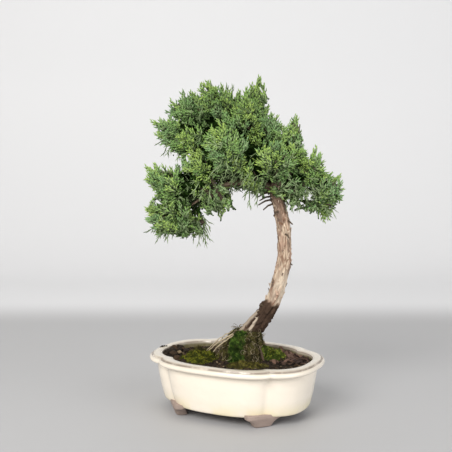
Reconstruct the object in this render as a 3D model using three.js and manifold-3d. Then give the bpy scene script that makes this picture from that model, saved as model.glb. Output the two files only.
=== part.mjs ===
// A kishu juniper bonsai in its lobed oval pot. Millimetres, +Z up.
// The pot's long side lies along X. The tree is set out as it is seen from its show side:
// right, away from the viewer, and up, measured from the point on the table under the pot's middle.
import * as THREE from "three";
import { ConvexGeometry } from "three/addons/geometries/ConvexGeometry.js";
import { mergeVertices } from "three/addons/utils/BufferGeometryUtils.js";
import Module from "manifold-3d";

const wasm = await Module();
wasm.setup();

// Driving sizes of the pot
const POT_LENGTH = 164;
const POT_WIDTH = 125;
const NOTCH_X = 55.7; // where the rim's lobes meet, from the middle
const NOTCH_Y = 47;
const LOBE_STEPS = 8;
const RIM_TOP = 53;
const FOOT_HEIGHT = 8.6;
const FOOT_X = 43.5;
const FOOT_Y = 35.2;
const FOOT_THICKNESS = 11;
const FOOT_SLOPE = 0.4; // a foot leans in towards the table by this much of its height
const FLOOR_TOP = 14.8;
const WALL = 5;
const DRAIN_RADIUS = 6.5;
const DRAIN_X = 27;
const SCREEN_SIZE = 21;
const SCREEN_THICKNESS = 1.2;
const SCREEN_HOLES = 3;

// Driving sizes of the planting
const GAP = 0.35; // clearance between touching pieces
const SOIL_LEVEL = 47;
const GRAIN = 1.1; // height of the soil's grains
const SHOW_SIDE = THREE.MathUtils.degToRad(27); // the show side is turned from the pot's front
const MOUND = { right: 11, away: 0, top: 13, foot: 24, rise: 24 };

// Seeded numbers from 0 to 1, so that each build is the same
function seeded(seed) {
  let state = seed;
  return () => {
    state = (state + 0x6d2b79f5) | 0;
    let t = Math.imul(state ^ (state >>> 15), 1 | state);
    t = (t + Math.imul(t ^ (t >>> 7), 61 | t)) ^ t;
    return ((t ^ (t >>> 14)) >>> 0) / 2 ** 32;
  };
}

// Closed mesh through rings of equal count, each end closed on a point
function loft(rings, first, last) {
  const count = rings[0].length;
  const points = [first, ...rings.flat(), last];
  const index = [];
  const at = (ring, i) => 1 + ring * count + (i % count);
  for (let i = 0; i < count; i++) {
    index.push(0, at(0, i + 1), at(0, i));
    for (let r = 0; r + 1 < rings.length; r++) {
      index.push(at(r, i), at(r, i + 1), at(r + 1, i + 1));
      index.push(at(r, i), at(r + 1, i + 1), at(r + 1, i));
    }
    const end = rings.length - 1;
    index.push(points.length - 1, at(end, i), at(end, i + 1));
  }
  return new THREE.BufferGeometry().setFromPoints(points).setIndex(index);
}

// three.js geometry to a solid that can be joined and cut
function solid(geometry) {
  const bare = geometry.clone();
  bare.deleteAttribute("normal");
  bare.deleteAttribute("uv");
  const merged = mergeVertices(bare, 1e-4);
  const triVerts = new Uint32Array(merged.index.array);
  const vertProperties = new Float32Array(merged.attributes.position.array);
  const made = new wasm.Manifold(new wasm.Mesh({ numProp: 3, vertProperties, triVerts }));
  if (made.volume() > 0) return made;
  for (let i = 0; i < triVerts.length; i += 3) {
    [triVerts[i + 1], triVerts[i + 2]] = [triVerts[i + 2], triVerts[i + 1]];
  }
  return new wasm.Manifold(new wasm.Mesh({ numProp: 3, vertProperties, triVerts }));
}

// The solid's largest body as a geometry, so that no loose scrap of a cut is kept
function geometryOf(made) {
  const bodies = made.decompose();
  const body = bodies.reduce((a, b) => (b.volume() > a.volume() ? b : a));
  const { vertProperties, triVerts, numProp } = body.getMesh();
  const points = [];
  for (let i = 0; i < vertProperties.length; i += numProp) {
    points.push(new THREE.Vector3(vertProperties[i], vertProperties[i + 1], vertProperties[i + 2]));
  }
  return new THREE.BufferGeometry().setFromPoints(points).setIndex([...triVerts]);
}

const union = (solids) => solids.reduce((a, b) => a.add(b));

// Plan outline of the pot: four lobes that meet in notches, set in by an offset
function lobed(offset, z) {
  const half = [POT_LENGTH / 2 - offset, POT_WIDTH / 2 - offset];
  const notch = [NOTCH_X - 0.8 * offset, NOTCH_Y - 0.8 * offset];
  const ring = [];
  for (let lobe = 0; lobe < 4; lobe++) {
    const [out, along] = lobe % 2 ? [1, 0] : [0, 1];
    const facing = lobe < 2 ? 1 : -1;
    const heading = lobe === 0 || lobe === 3 ? 1 : -1;
    for (let i = 0; i < LOBE_STEPS; i++) {
      const s = -Math.cos((Math.PI * i) / LOBE_STEPS);
      const bulge = (1 - Math.abs(s) ** 2.6) ** 0.6;
      const p = [0, 0];
      p[out] = facing * (notch[out] + (half[out] - notch[out]) * bulge);
      p[along] = heading * s * notch[along];
      ring.push(new THREE.Vector3(p[0], p[1], z));
    }
  }
  return ring;
}

// Pot: outside, rolled rim and inside in one loft, with four bracket feet and two drain holes
const POT_PROFILE = [
  [26, FOOT_HEIGHT],
  [15.2, FOOT_HEIGHT],
  [12.2, FOOT_HEIGHT + 1.6],
  [10.4, 15],
  [8.2, 28],
  [6.4, 40],
  [5.8, 46],
  [1.4, 47.2],
  [0, 49.4],
  [0.8, 52],
  [3.4, RIM_TOP],
  [9, RIM_TOP],
  [10.2, 51.6],
  [10.6, 49],
  [5.8 + WALL, 45],
  [8.2 + WALL, 28],
  [11 + WALL, 18],
  [19, FLOOR_TOP],
];

// Bracket foot: wide under the pot, drawn in to a flat end, with rounded corners.
// Its half width at each height.
const FOOT_PROFILE = [
  [8.5, 0],
  [9.5, 2.2],
  [11.2, 4.4],
  [13.8, 6.4],
  [16.5, FOOT_HEIGHT - 1],
  [17, FOOT_HEIGHT + 3],
];
const FOOT_SIDES = 16;
const FOOT_SQUARENESS = 0.45; // 1 is an ellipse, 0 a rectangle

function foot(signX, signY) {
  const distance = Math.hypot(FOOT_X, FOOT_Y);
  const square = (value) => Math.sign(value) * Math.abs(value) ** FOOT_SQUARENESS;
  const middle = (z) => new THREE.Vector3(0, FOOT_SLOPE * Math.max(0, FOOT_HEIGHT - z) - distance, z);
  const rings = FOOT_PROFILE.map(([half, z]) =>
    Array.from({ length: FOOT_SIDES }, (_, i) => {
      const turn = (2 * Math.PI * (i + 0.5)) / FOOT_SIDES;
      const out = new THREE.Vector3(half * square(Math.cos(turn)), (FOOT_THICKNESS / 2) * square(Math.sin(turn)), 0);
      return out.add(middle(z));
    }),
  );
  const top = FOOT_PROFILE[FOOT_PROFILE.length - 1][1];
  const g = loft(rings, middle(0), middle(top));
  g.rotateZ(Math.atan2(signY * FOOT_Y, signX * FOOT_X) + Math.PI / 2);
  return solid(g);
}

function pot() {
  const rings = POT_PROFILE.map(([offset, z]) => lobed(offset, z));
  const low = new THREE.Vector3(0, 0, POT_PROFILE[0][1]);
  const high = new THREE.Vector3(0, 0, FLOOR_TOP);
  let made = solid(loft(rings, low, high));
  for (const [x, y] of [[1, 1], [1, -1], [-1, 1], [-1, -1]]) made = made.add(foot(x, y));
  for (const side of [-1, 1]) {
    const drill = new THREE.CylinderGeometry(DRAIN_RADIUS, DRAIN_RADIUS, 20, 16);
    drill.rotateX(Math.PI / 2);
    drill.translate(side * DRAIN_X, 0, FLOOR_TOP);
    made = made.subtract(solid(drill));
  }
  return made;
}

// Plastic screen over a drain hole, so that the soil stays in
function screen(side) {
  const pitch = 4.2;
  const opening = 2.8;
  const sheet = new THREE.BoxGeometry(SCREEN_SIZE, SCREEN_SIZE, SCREEN_THICKNESS);
  let made = solid(sheet);
  for (let i = 0; i < SCREEN_HOLES; i++) {
    for (let j = 0; j < SCREEN_HOLES; j++) {
      const hole = new THREE.BoxGeometry(opening, opening, 3 * SCREEN_THICKNESS);
      hole.translate((i - (SCREEN_HOLES - 1) / 2) * pitch, (j - (SCREEN_HOLES - 1) / 2) * pitch, 0);
      made = made.subtract(solid(hole));
    }
  }
  return made.translate([side * DRAIN_X, 0, FLOOR_TOP + GAP + SCREEN_THICKNESS / 2]);
}

// From the show side's right, away and up to the part's own X, Y and Z
function shown(right, away, up) {
  return new THREE.Vector3(right, away, up).applyAxisAngle(new THREE.Vector3(0, 0, 1), SHOW_SIDE);
}

// Height of the ground at a point: level soil, a steep mound of matted roots, and grains
const moundAt = shown(MOUND.right, MOUND.away, 0);
function ground(x, y, random) {
  const distance = Math.hypot(x - moundAt.x, (y - moundAt.y) * 1.12);
  const share = THREE.MathUtils.smoothstep(MOUND.foot - distance, 0, MOUND.foot - MOUND.top);
  const heap = 2.2 * Math.exp(-((distance / 45) ** 2));
  return SOIL_LEVEL + heap + MOUND.rise * share + GRAIN * (2 * random() - 1);
}

const SOIL_WALL = [
  [20.5, FLOOR_TOP + GAP],
  [11.5 + WALL, 18.3],
  [8.7 + WALL, 28],
  [6.3 + WALL, 45],
];
const SOIL_STEPS = [0.93, 0.8, 0.66, 0.53, 0.43, 0.36, 0.3, 0.24, 0.17];

function soil() {
  const random = seeded(11);
  const rings = SOIL_WALL.map(([offset, z]) => lobed(offset, z));
  const edge = rings[rings.length - 1];
  for (const share of SOIL_STEPS) {
    rings.push(
      edge.map((p, i) => {
        const stagger = share + 0.025 * (i % 2);
        const x = moundAt.x + (p.x - moundAt.x) * stagger;
        const y = moundAt.y + (p.y - moundAt.y) * stagger;
        return new THREE.Vector3(x, y, ground(x, y, random));
      }),
    );
  }
  const low = new THREE.Vector3(0, 0, FLOOR_TOP + GAP);
  const high = new THREE.Vector3(moundAt.x, moundAt.y, SOIL_LEVEL + MOUND.rise);
  let made = solid(loft(rings, low, high));
  for (const side of [-1, 1]) {
    const size = SCREEN_SIZE + 2 * GAP;
    const pocket = new THREE.BoxGeometry(size, size, 2 * (SCREEN_THICKNESS + GAP));
    pocket.translate(side * DRAIN_X, 0, FLOOR_TOP + GAP);
    made = made.subtract(solid(pocket));
  }
  return made;
}

// A round limb along a curve through [right, away, up, radius], with fluted bark
function limb(stations, sides, steps, grow = 0, fluting = 0) {
  const curve = new THREE.CatmullRomCurve3(stations.map(([x, y, z]) => shown(x, y, z)), false, "centripetal");
  const frames = curve.computeFrenetFrames(steps, false);
  const radiusAt = (share) => {
    const place = Math.min(share * (stations.length - 1), stations.length - 1 - 1e-6);
    const k = Math.floor(place);
    return THREE.MathUtils.lerp(stations[k][3], stations[k + 1][3], place - k);
  };
  const rings = [];
  for (let i = 0; i <= steps; i++) {
    const share = i / steps;
    const middle = curve.getPoint(share);
    const ring = [];
    for (let j = 0; j < sides; j++) {
      const turn = (2 * Math.PI * j) / sides;
      const flute = 1 + fluting * (Math.sin(3 * turn + 7 * share) + 0.6 * Math.sin(5 * turn - 19 * share));
      const r = radiusAt(share) * flute + grow;
      ring.push(
        middle
          .clone()
          .addScaledVector(frames.normals[i], r * Math.cos(turn))
          .addScaledVector(frames.binormals[i], r * Math.sin(turn)),
      );
    }
    rings.push(ring);
  }
  const tip = (i, sign) => curve.getPoint(i).addScaledVector(curve.getTangent(i), sign * (grow + 0.4));
  return solid(loft(rings, tip(0, -1), tip(1, 1)));
}

// Trunk and leader, from the root crown in the soil to the apex
const TRUNK = [
  [3, 0, 30, 12],
  [5, 0, 48, 12],
  [8.5, 0, 62, 10.5],
  [14.5, 0, 75.5, 8.4],
  [23.5, -0.5, 85.5, 7.4],
  [29.5, -1, 95, 7],
  [34.3, -1, 104, 6.7],
  [40.4, -1, 122.7, 6.4],
  [44.4, -0.5, 141.5, 6.3],
  [45, 0, 155, 6.25],
  [44, 0.5, 170, 6.1],
  [40.8, 0.5, 187, 5.9],
  [37.8, 0, 199, 5.7],
  [37.5, 0, 212, 5.4],
  [36.5, 2, 226, 4.9],
  [32, 4, 242, 4.1],
  [26, 3, 257, 3.3],
  [20, 1, 270, 2.6],
  [16.5, 0, 284, 1.6],
];

// Roots that run out of the trunk's base and down the mound into the soil
const ROOTS = [
  [[8, 0, 64, 5], [-1, -5, 70.5, 3.2], [-8, -9, 62, 2.6], [-13, -12, 51, 2.2], [-21, -16, 47, 1.8], [-27, -19, 41, 1.2]],
  [[7, 2, 62, 5], [-1, 4, 71, 3.2], [-8, 6, 63, 2.6], [-14, 8, 51, 2.2], [-23, 10, 47.5, 1.7], [-30, 12, 41, 1.2]],
  [[9, -3, 62, 5], [8, -11, 66, 3], [5, -18, 55, 2.3], [3, -25, 45.5, 1.9], [2, -32, 41, 1.4]],
  [[10, -2, 62, 5], [22, -8, 68, 3], [28, -12, 59, 2.3], [33, -16, 48, 1.9], [39, -20, 42, 1.4]],
  [[10, 2, 62, 5], [23, 6, 67, 3], [30, 9, 58, 2.3], [36, 12, 48, 1.9], [42, 16, 42, 1.4]],
  [[8, 3, 62, 5], [6, 13, 69, 3.1], [3, 20, 59, 2.3], [1, 26, 48, 1.9], [-2, 32, 42, 1.4]],
];

// Main branches, each with the foliage pads that it carries.
// A pad is its name, its middle as right, away, up, and its half sizes the same way.
const BRANCHES = [
  {
    way: [[36, 2, 207, 4], [23, -7, 212, 3.3], [2, -13, 213, 2.9], [-22, -13, 206, 2.5], [-40, -7, 193, 2.1], [-56, -3, 187, 1.6]],
    pads: [
      ["low_middle", [12, -14, 220], [24, 18, 17]],
      ["low_inner", [-8, -3, 217], [16, 14, 16]],
      ["low_front", [-24, -19, 210], [17, 16, 16]],
      ["low_outer", [-65, -10, 215], [22.5, 19, 18]],
      ["low_tip", [-62, -1, 187], [24, 20, 17.5]],
      ["low_hanging", [-40, 3, 180], [11, 13, 15]],
      ["low_back", [-40, 18, 205], [19, 16, 17]],
    ],
  },
  {
    way: [[34, 4, 236, 3.6], [14, -4, 240, 2.8], [-10, -10, 243, 2.4], [-36, -6, 253, 2], [-58, -3, 257, 1.5]],
    pads: [
      ["middle_front", [-13, -26, 246], [22, 16, 20]],
      ["middle_inner", [-30, -10, 226], [23, 18, 22]],
      ["middle_upper", [-32, 4, 262], [21, 18, 17]],
      ["middle_outer", [-59, -4, 262], [20, 17, 14]],
      ["middle_back", [-4, 22, 238], [24, 17, 24]],
    ],
  },
  {
    way: [[27, 4, 254, 3], [8, 0, 267, 2.4], [-16, -3, 281, 2], [-42, 1, 279, 1.4]],
    pads: [
      ["upper_middle", [5, -11, 274], [21, 17, 19]],
      ["upper_front", [-25, -4, 288.5], [19, 17, 16.5]],
      ["upper_outer", [-44, 3, 281], [18.5, 17, 15.5]],
      ["upper_back", [-8, 22, 274], [21, 16, 19]],
    ],
  },
  {
    way: [[20, 2, 270, 2.5], [17, 0, 280, 2], [15.5, -1, 288, 1.4]],
    pads: [["apex", [17.5, -1, 290], [10.5, 12.5, 18.5]]],
  },
  {
    way: [[34, 3, 240, 3], [32, 6, 254, 2.2], [30, 8, 266, 1.4]],
    pads: [
      ["shoulder", [31, 4, 260], [14, 15, 17]],
      ["shoulder_back", [26, 20, 245], [20, 15, 22]],
    ],
  },
  {
    way: [[37, 0, 214, 3.8], [50, -5, 224, 3], [66, -5, 222, 2.4], [80, -2, 213, 1.9], [88, 0, 208, 1.4]],
    pads: [
      ["right_front", [36, -23, 235], [20, 15, 20]],
      ["right_inner", [55, -7, 237], [17, 16, 20]],
      ["right_spike", [56.5, 2, 262], [7.5, 10, 14]],
      ["right_outer", [72.5, -4, 226], [13, 15, 19]],
      ["right_tip", [87.5, -1, 209.5], [13.5, 14, 13.5]],
      ["right_hanging", [81, 3, 197], [12, 13, 14]],
      ["right_under", [58, -9, 211], [17, 15, 13]],
      ["right_back", [57, 19, 222], [20, 14, 19]],
    ],
  },
];

const PADS = BRANCHES.flatMap(({ way, pads }) =>
  pads.map(([name, middle, half], i) => ({ name, way, seed: way.length * 100 + i * 7 + middle[2], middle, half })),
);

// Twig from the nearest point of its branch to a pad's middle
function twig({ way, middle }, grow) {
  const to = new THREE.Vector3(...middle);
  let best = null;
  for (let k = 0; k + 1 < way.length; k++) {
    for (const share of [0, 0.5, 1]) {
      const from = new THREE.Vector3(...way[k]).lerp(new THREE.Vector3(...way[k + 1]), share);
      const length = from.distanceTo(to);
      if (!best || length < best.length) best = { from, length };
    }
  }
  const { from } = best;
  const bend = from.clone().lerp(to, 0.5).add(new THREE.Vector3(0, 0, -0.1 * best.length));
  return limb([[...from, 1.7], [...bend, 1.4], [...to, 1]], 4, 2, grow);
}

function wood(grow) {
  const limbs = [
    limb(TRUNK, 10, 26, grow, 0.045),
    ...ROOTS.map((way) => limb(way, 5, 5, grow)),
    ...BRANCHES.map(({ way }) => limb(way, 5, 6, grow)),
    ...PADS.map((pad) => twig(pad, grow)),
  ];
  return union(limbs);
}

// Net of even triangles on a ball, as directions and faces
function netOf(count, random) {
  const directions = [];
  for (let i = 0; i < count; i++) {
    const z = 1 - (2 * i + 1) / count;
    const turn = Math.PI * (1 + Math.sqrt(5)) * i + 0.25 * random();
    const across = Math.sqrt(1 - z * z);
    directions.push(new THREE.Vector3(across * Math.cos(turn), across * Math.sin(turn), z));
  }
  const ball = mergeVertices(new ConvexGeometry(directions).deleteAttribute("normal"), 1e-4);
  const corners = [];
  for (let i = 0; i < ball.attributes.position.count; i++) {
    corners.push(new THREE.Vector3().fromBufferAttribute(ball.attributes.position, i));
  }
  const faces = [];
  for (let f = 0; f < ball.index.count; f += 3) faces.push([0, 1, 2].map((k) => ball.index.getX(f + k)));
  return { directions: corners, faces };
}

// Foliage pad: a small core whose every face rises into a tuft, with a slim shoot at its tip.
// Tufts stop short of the plane half way to each neighbouring pad.
const CORE_SHARE = 0.8;
const TUFT_NET = 1.75; // points of the net for each millimetre of a pad's mean half size
const SHOOT_SHARE = 0.8; // share of the free faces that carry a shoot
const SHOOT_BASE = 0.3; // half width of a shoot against its face
function pad({ middle, half, seed }) {
  const random = seeded(seed);
  const centre = new THREE.Vector3(...middle);
  const size = new THREE.Vector3(...half);
  const others = PADS.filter((other) => other.middle !== middle).map((other) => {
    const there = new THREE.Vector3(...other.middle);
    const normal = there.clone().sub(centre);
    const span = normal.length();
    normal.divideScalar(span);
    const own = new THREE.Vector3().copy(normal).multiply(size).length();
    const its = new THREE.Vector3(...other.half).multiply(normal).length();
    return { normal, limit: (span * own) / (own + its) - GAP };
  });
  // How far a ray may go before it reaches a neighbour's half
  const reach = (ray) => {
    let longest = Infinity;
    for (const { normal, limit } of others) {
      const toward = ray.dot(normal);
      if (toward > 1e-6) longest = Math.min(longest, limit / toward);
    }
    return longest;
  };
  const put = (direction, share) => {
    const ray = direction.clone().normalize().multiply(size).multiplyScalar(share);
    const kept = Math.min(1, reach(ray));
    return { point: ray.multiplyScalar(kept).add(centre), kept };
  };
  const { directions, faces } = netOf(Math.round(TUFT_NET * Math.cbrt(size.x * size.y * size.z)), random);
  const points = directions.map((d) => put(d, CORE_SHARE * (0.8 + 0.36 * random())).point);
  const index = [];
  for (const face of faces) {
    const [a, b, c] = face.map((k) => directions[k]);
    const heading = new THREE.Vector3().add(a).add(b).add(c).divideScalar(3);
    const hangs = heading.z < -0.45;
    const length = hangs ? 1.05 + 0.3 * random() : 1 + 0.2 * random();
    const tip = put(heading, length);
    if (tip.kept < 0.99 || random() > SHOOT_SHARE) {
      index.push(...face);
      continue;
    }
    const collar = [a, b, c].map((corner) => {
      const direction = heading.clone().lerp(corner, SHOOT_BASE);
      points.push(put(direction, THREE.MathUtils.lerp(CORE_SHARE, length, 0.25)).point);
      return points.length - 1;
    });
    points.push(tip.point.add(new THREE.Vector3(0, 0, hangs ? -1 : 1.2)));
    const top = points.length - 1;
    for (let k = 0; k < 3; k++) {
      const next = (k + 1) % 3;
      index.push(face[k], face[next], collar[next]);
      index.push(face[k], collar[next], collar[k]);
      index.push(collar[k], collar[next], top);
    }
  }
  const inView = points.map((p) => shown(p.x, p.y, p.z));
  return solid(new THREE.BufferGeometry().setFromPoints(inView).setIndex(index));
}

// Moss cushion: a low dome of small humps that lies on the ground
const MOSS = [
  { name: "moss_mound", at: [1, -11, 59], half: [11, 13, 15], detail: 3 },
  { name: "moss_left", at: [-34, -4, 46.5], half: [19, 13, 7], detail: 2 },
  { name: "moss_right", at: [42, 2, 46.5], half: [12, 12, 9], detail: 2 },
  { name: "moss_front", at: [14, -32, 46.5], half: [15, 7, 5], detail: 2 },
  { name: "moss_back", at: [6, 33, 46.5], half: [21, 9, 6], detail: 2 },
];

function moss({ at, half, detail }, seed) {
  const random = seeded(seed);
  const ball = new THREE.IcosahedronGeometry(1, detail).deleteAttribute("normal").deleteAttribute("uv");
  const dome = mergeVertices(ball, 1e-4);
  const position = dome.attributes.position;
  for (let i = 0; i < position.count; i++) {
    const p = new THREE.Vector3().fromBufferAttribute(position, i).multiplyScalar(0.9 + 0.2 * random());
    p.multiply(new THREE.Vector3(...half)).add(new THREE.Vector3(...at));
    position.setXYZ(i, ...shown(p.x, p.y, p.z));
  }
  return solid(dome);
}

const tree = new THREE.Group();
function add(name, geometry, color, roughness) {
  const mesh = new THREE.Mesh(geometry, new THREE.MeshStandardMaterial({ color, roughness, metalness: 0 }));
  mesh.name = name;
  tree.add(mesh);
}

const bark = wood(0);
const barkRoom = wood(GAP);
const ground3d = soil();

add("pot", geometryOf(pot()), 0xece4d0, 0.25);
add("drain_screen_left", geometryOf(screen(-1)), 0x24282a, 0.6);
add("drain_screen_right", geometryOf(screen(1)), 0x24282a, 0.6);
add("soil", geometryOf(ground3d.subtract(barkRoom)), 0x2a2018, 0.95);
add("trunk_and_branches", geometryOf(bark), 0x9a7a5e, 0.85);
const bed = ground3d.add(ground3d.translate([0, 0, GAP])).add(barkRoom);
MOSS.forEach((cushion, i) => {
  add(cushion.name, geometryOf(moss(cushion, 40 + i).subtract(bed)), 0x4d6b1f, 0.95);
});
for (const one of PADS) {
  add("foliage_" + one.name, geometryOf(pad(one).subtract(barkRoom)), 0x4c7a3c, 0.7);
}

// The origin is on the table, under the middle of the whole
const box = new THREE.Box3().setFromObject(tree);
tree.position.set(-(box.min.x + box.max.x) / 2, -(box.min.y + box.max.y) / 2, -box.min.z);

export default tree;
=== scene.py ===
"""A kishu juniper bonsai in its lobed, cream glazed pot, dressed around its fixed frame."""

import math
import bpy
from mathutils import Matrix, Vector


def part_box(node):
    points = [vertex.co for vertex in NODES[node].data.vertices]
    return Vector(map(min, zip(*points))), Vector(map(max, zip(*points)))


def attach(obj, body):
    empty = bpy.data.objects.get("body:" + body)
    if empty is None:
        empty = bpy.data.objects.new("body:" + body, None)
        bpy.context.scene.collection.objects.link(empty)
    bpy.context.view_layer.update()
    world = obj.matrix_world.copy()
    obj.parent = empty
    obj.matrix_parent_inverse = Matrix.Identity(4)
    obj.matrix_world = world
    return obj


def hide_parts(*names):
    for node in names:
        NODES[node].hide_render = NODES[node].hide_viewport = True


bl_info = {
    "name": "Juniper Bonsai",
    "version": (1, 0, 0),
    "blender": (4, 5, 0),
    "location": "3D View > Sidebar > Bonsai",
    "description": "Makes a juniper bonsai: pot, soil, moss, trunk and scale-leaved foliage",
    "category": "Object",
}

from contextlib import contextmanager

import bmesh
import bpy
import numpy as np
from bpy.props import FloatProperty, FloatVectorProperty, IntProperty, PointerProperty
from mathutils import Matrix, Vector, noise

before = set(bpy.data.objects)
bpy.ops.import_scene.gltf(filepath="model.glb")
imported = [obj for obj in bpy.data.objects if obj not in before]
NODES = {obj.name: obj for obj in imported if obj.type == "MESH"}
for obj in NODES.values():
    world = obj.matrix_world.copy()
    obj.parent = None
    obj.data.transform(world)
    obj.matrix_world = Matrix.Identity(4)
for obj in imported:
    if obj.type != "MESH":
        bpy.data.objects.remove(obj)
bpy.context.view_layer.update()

MM = 0.001

# Places are set out as seen from the show side: right, away and up, in millimetres, from the point
# under the pot's middle at the height of its feet.
POT_LOW, POT_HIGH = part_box("pot")
POT_MIDDLE = Vector(((POT_LOW.x + POT_HIGH.x) / 2, (POT_LOW.y + POT_HIGH.y) / 2, POT_LOW.z))
SHOW_SIDE = math.radians(27)
TURN = Matrix.Rotation(SHOW_SIDE, 3, "Z")
# The photograph's view: how far right of the pot's middle, in front of it, and up
VIEW = (-9.7, 721.0, 227.0)


def shown(right, away, up):
    """A place as seen from the show side, in millimetres, as a point of the frame in metres."""
    return POT_MIDDLE + TURN @ Vector((right, away, up)) * MM


def seen_at(p):
    """A point of the frame as right, away and up from the show side, in millimetres."""
    return TURN.transposed() @ (p - POT_MIDDLE) / MM


def clamp(x):
    return min(max(x, 0.0), 1.0)


def smooth_step(low, high, x):
    """0 at low, 1 at high, and smooth between them."""
    t = clamp((x - low) / (high - low))
    return t * t * (3 - 2 * t)


def turns(sides):
    """The angles of a ring's points."""
    return [2 * math.pi * i / sides for i in range(sides)]


def neighbours(sides):
    """Each point of a ring with the next one."""
    return [(i, (i + 1) % sides) for i in range(sides)]


def facing(turn):
    return Vector((math.cos(turn), math.sin(turn), 0))


def leaning(side, lean):
    """A direction that leans by an angle from the upright to a side."""
    return side * math.sin(lean) + Vector((0, 0, math.cos(lean)))


# Node trees


def operator(operation, swapped=False):
    """A method that joins a wire with another value by one operation."""
    return lambda self, other: self.join(operation, other, swapped)


class Wire:
    """A socket of a node tree. Arithmetic on it adds Math nodes, or Vector Math on vectors."""

    def __init__(self, graph, socket):
        self.graph = graph
        self.socket = socket

    def join(self, operation, other, swapped):
        first, second = (other, self) if swapped else (self, other)
        vectors = [isinstance(x, tuple) or getattr(x, "holds_vector", False) for x in (first, second)]
        if not any(vectors):
            return self.graph.node("ShaderNodeMath", {"operation": operation}, {0: first, 1: second})
        if operation == "MULTIPLY" and not all(vectors):
            vector, scale = (first, second) if vectors[0] else (second, first)
            sockets = {0: vector, "Scale": scale}
            return self.graph.node("ShaderNodeVectorMath", {"operation": "SCALE"}, sockets)
        return self.graph.vector(operation, first, second)

    @property
    def holds_vector(self):
        return self.socket.type in {"VECTOR", "RGBA"}

    __add__, __radd__ = operator("ADD"), operator("ADD", True)
    __sub__, __rsub__ = operator("SUBTRACT"), operator("SUBTRACT", True)
    __mul__, __rmul__ = operator("MULTIPLY"), operator("MULTIPLY", True)
    __gt__, __lt__ = operator("GREATER_THAN"), operator("LESS_THAN")

    def over(self, low, high):
        """0 below low, 1 above high, and smooth between them."""
        sockets = {"Value": self, "From Min": low, "From Max": high, "To Min": 0.0, "To Max": 1.0}
        return self.graph.node("ShaderNodeMapRange", {"interpolation_type": "SMOOTHSTEP"}, sockets)


class Graph:
    """A node tree: node adds any node from its type, its settings and its sockets."""

    def __init__(self, tree):
        self.tree = tree

    def node(self, kind, settings=None, sockets=None, out=0):
        made = self.tree.nodes.new(kind)
        for key, value in (settings or {}).items():
            setattr(made, key, value)
        for key, value in (sockets or {}).items():
            self.feed(self.find(made.inputs, key), value)
        return Wire(self, self.find(made.outputs, out)) if made.outputs else None

    def vector(self, operation, *values, out=0):
        """A Vector Math node on some values."""
        return self.node("ShaderNodeVectorMath", {"operation": operation}, dict(enumerate(values)), out)

    def unit(self, vector):
        return self.vector("NORMALIZE", vector)

    @staticmethod
    def find(sockets, key):
        if isinstance(key, int):
            return sockets[key]
        return next(s for s in sockets if s.name == key and s.enabled)

    def feed(self, socket, value):
        if isinstance(value, Wire):
            self.tree.links.new(value.socket, socket)
        elif socket.type == "RGBA" and not isinstance(value, float):
            socket.default_value = (*value, 1.0)
        else:
            socket.default_value = value


# Materials


class Finish(Graph):
    """A material's node tree, with the patterns that this bonsai's surfaces are made of."""

    def __init__(self, name):
        self.material = bpy.data.materials.new(name)
        self.material.use_nodes = True
        super().__init__(self.material.node_tree)
        self.tree.nodes.clear()
        self.place = self.node("ShaderNodeTexCoord", out="Object")

    def attribute(self, name):
        return self.node("ShaderNodeAttribute", {"attribute_name": name}, out="Fac")

    def height(self):
        return self.node("ShaderNodeSeparateXYZ", sockets={0: self.place}, out="Z")

    def noise(self, where, scale, detail, roughness):
        sockets = {"Vector": where, "Scale": scale, "Detail": detail, "Roughness": roughness}
        return self.node("ShaderNodeTexNoise", sockets=sockets)

    def cloud(self, grain, detail=3.0, stretch=None, roughness=0.55):
        """Soft noise from 0 to 1, with features of about a grain's size in metres."""
        where = self.place * stretch if stretch else self.place
        return self.noise(where, 1 / grain, detail, roughness)

    def cells(self, where, scale, feature="F1"):
        sockets = {"Vector": where, "Scale": scale}
        return self.node("ShaderNodeTexVoronoi", {"feature": feature}, sockets, out="Distance")

    def blend(self, share, first, second):
        sockets = {0: share, 6: first, 7: second}
        return self.node("ShaderNodeMix", {"data_type": "RGBA"}, sockets, out=2)

    def layered(self, colour, *layers):
        """A colour under layers, each with the share of it that shows, and its colour."""
        for share, layer in layers:
            colour = self.blend(share, colour, layer)
        return colour

    def surface(self, colour, roughness, bump=None, depth=0.0, **constants):
        sockets = {"Base Color": colour, "Roughness": roughness}
        sockets.update({key.replace("_", " "): value for key, value in constants.items()})
        if bump:
            sockets["Normal"] = self.node("ShaderNodeBump", sockets={"Height": bump, "Distance": depth})
        shader = self.node("ShaderNodeBsdfPrincipled", sockets=sockets)
        self.node("ShaderNodeOutputMaterial", sockets={"Surface": shader})
        return self.material


def dim(colour, share):
    """A colour at some share of its brightness."""
    return tuple(share * c for c in colour)


def glaze(settings):
    """Glossy cream glaze, thin and brown along the rim's edges and yellow where it pools."""
    f = Finish("cream_glaze")
    pooled = f.height().over(0.024, 0.009) * f.cloud(0.03).over(0.35, 0.65)
    # Real stain inside the rim, and painted shade that darkens the rim's top
    stained_and_shaded = f.attribute("stain") * (0.8 + 0.4 * f.cloud(0.008, 4.0))
    worn = f.attribute("edge") * (0.35 + 0.65 * f.cloud(0.012, 4.0).over(0.3, 0.55))
    speck = f.cells(f.place, 1 / 0.012).over(0.045, 0.02) * f.cloud(0.02).over(0.5, 0.6)
    colour = f.layered(
        settings.glaze, (f.cloud(0.022, 4.0), dim(settings.glaze, 0.93)),
        (pooled * 0.55, settings.pooled_glaze), (stained_and_shaded, settings.stained_and_shaded_glaze),
        (worn * 0.9, settings.thin_glaze), (speck * 0.6, settings.thin_glaze),
    )
    roughness = 0.16 + 0.12 * f.cloud(0.01) + 0.2 * worn
    return f.surface(colour, roughness, f.cloud(0.014, 2.0), 0.0006, Coat_Weight=0.35, Coat_Roughness=0.08)


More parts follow.
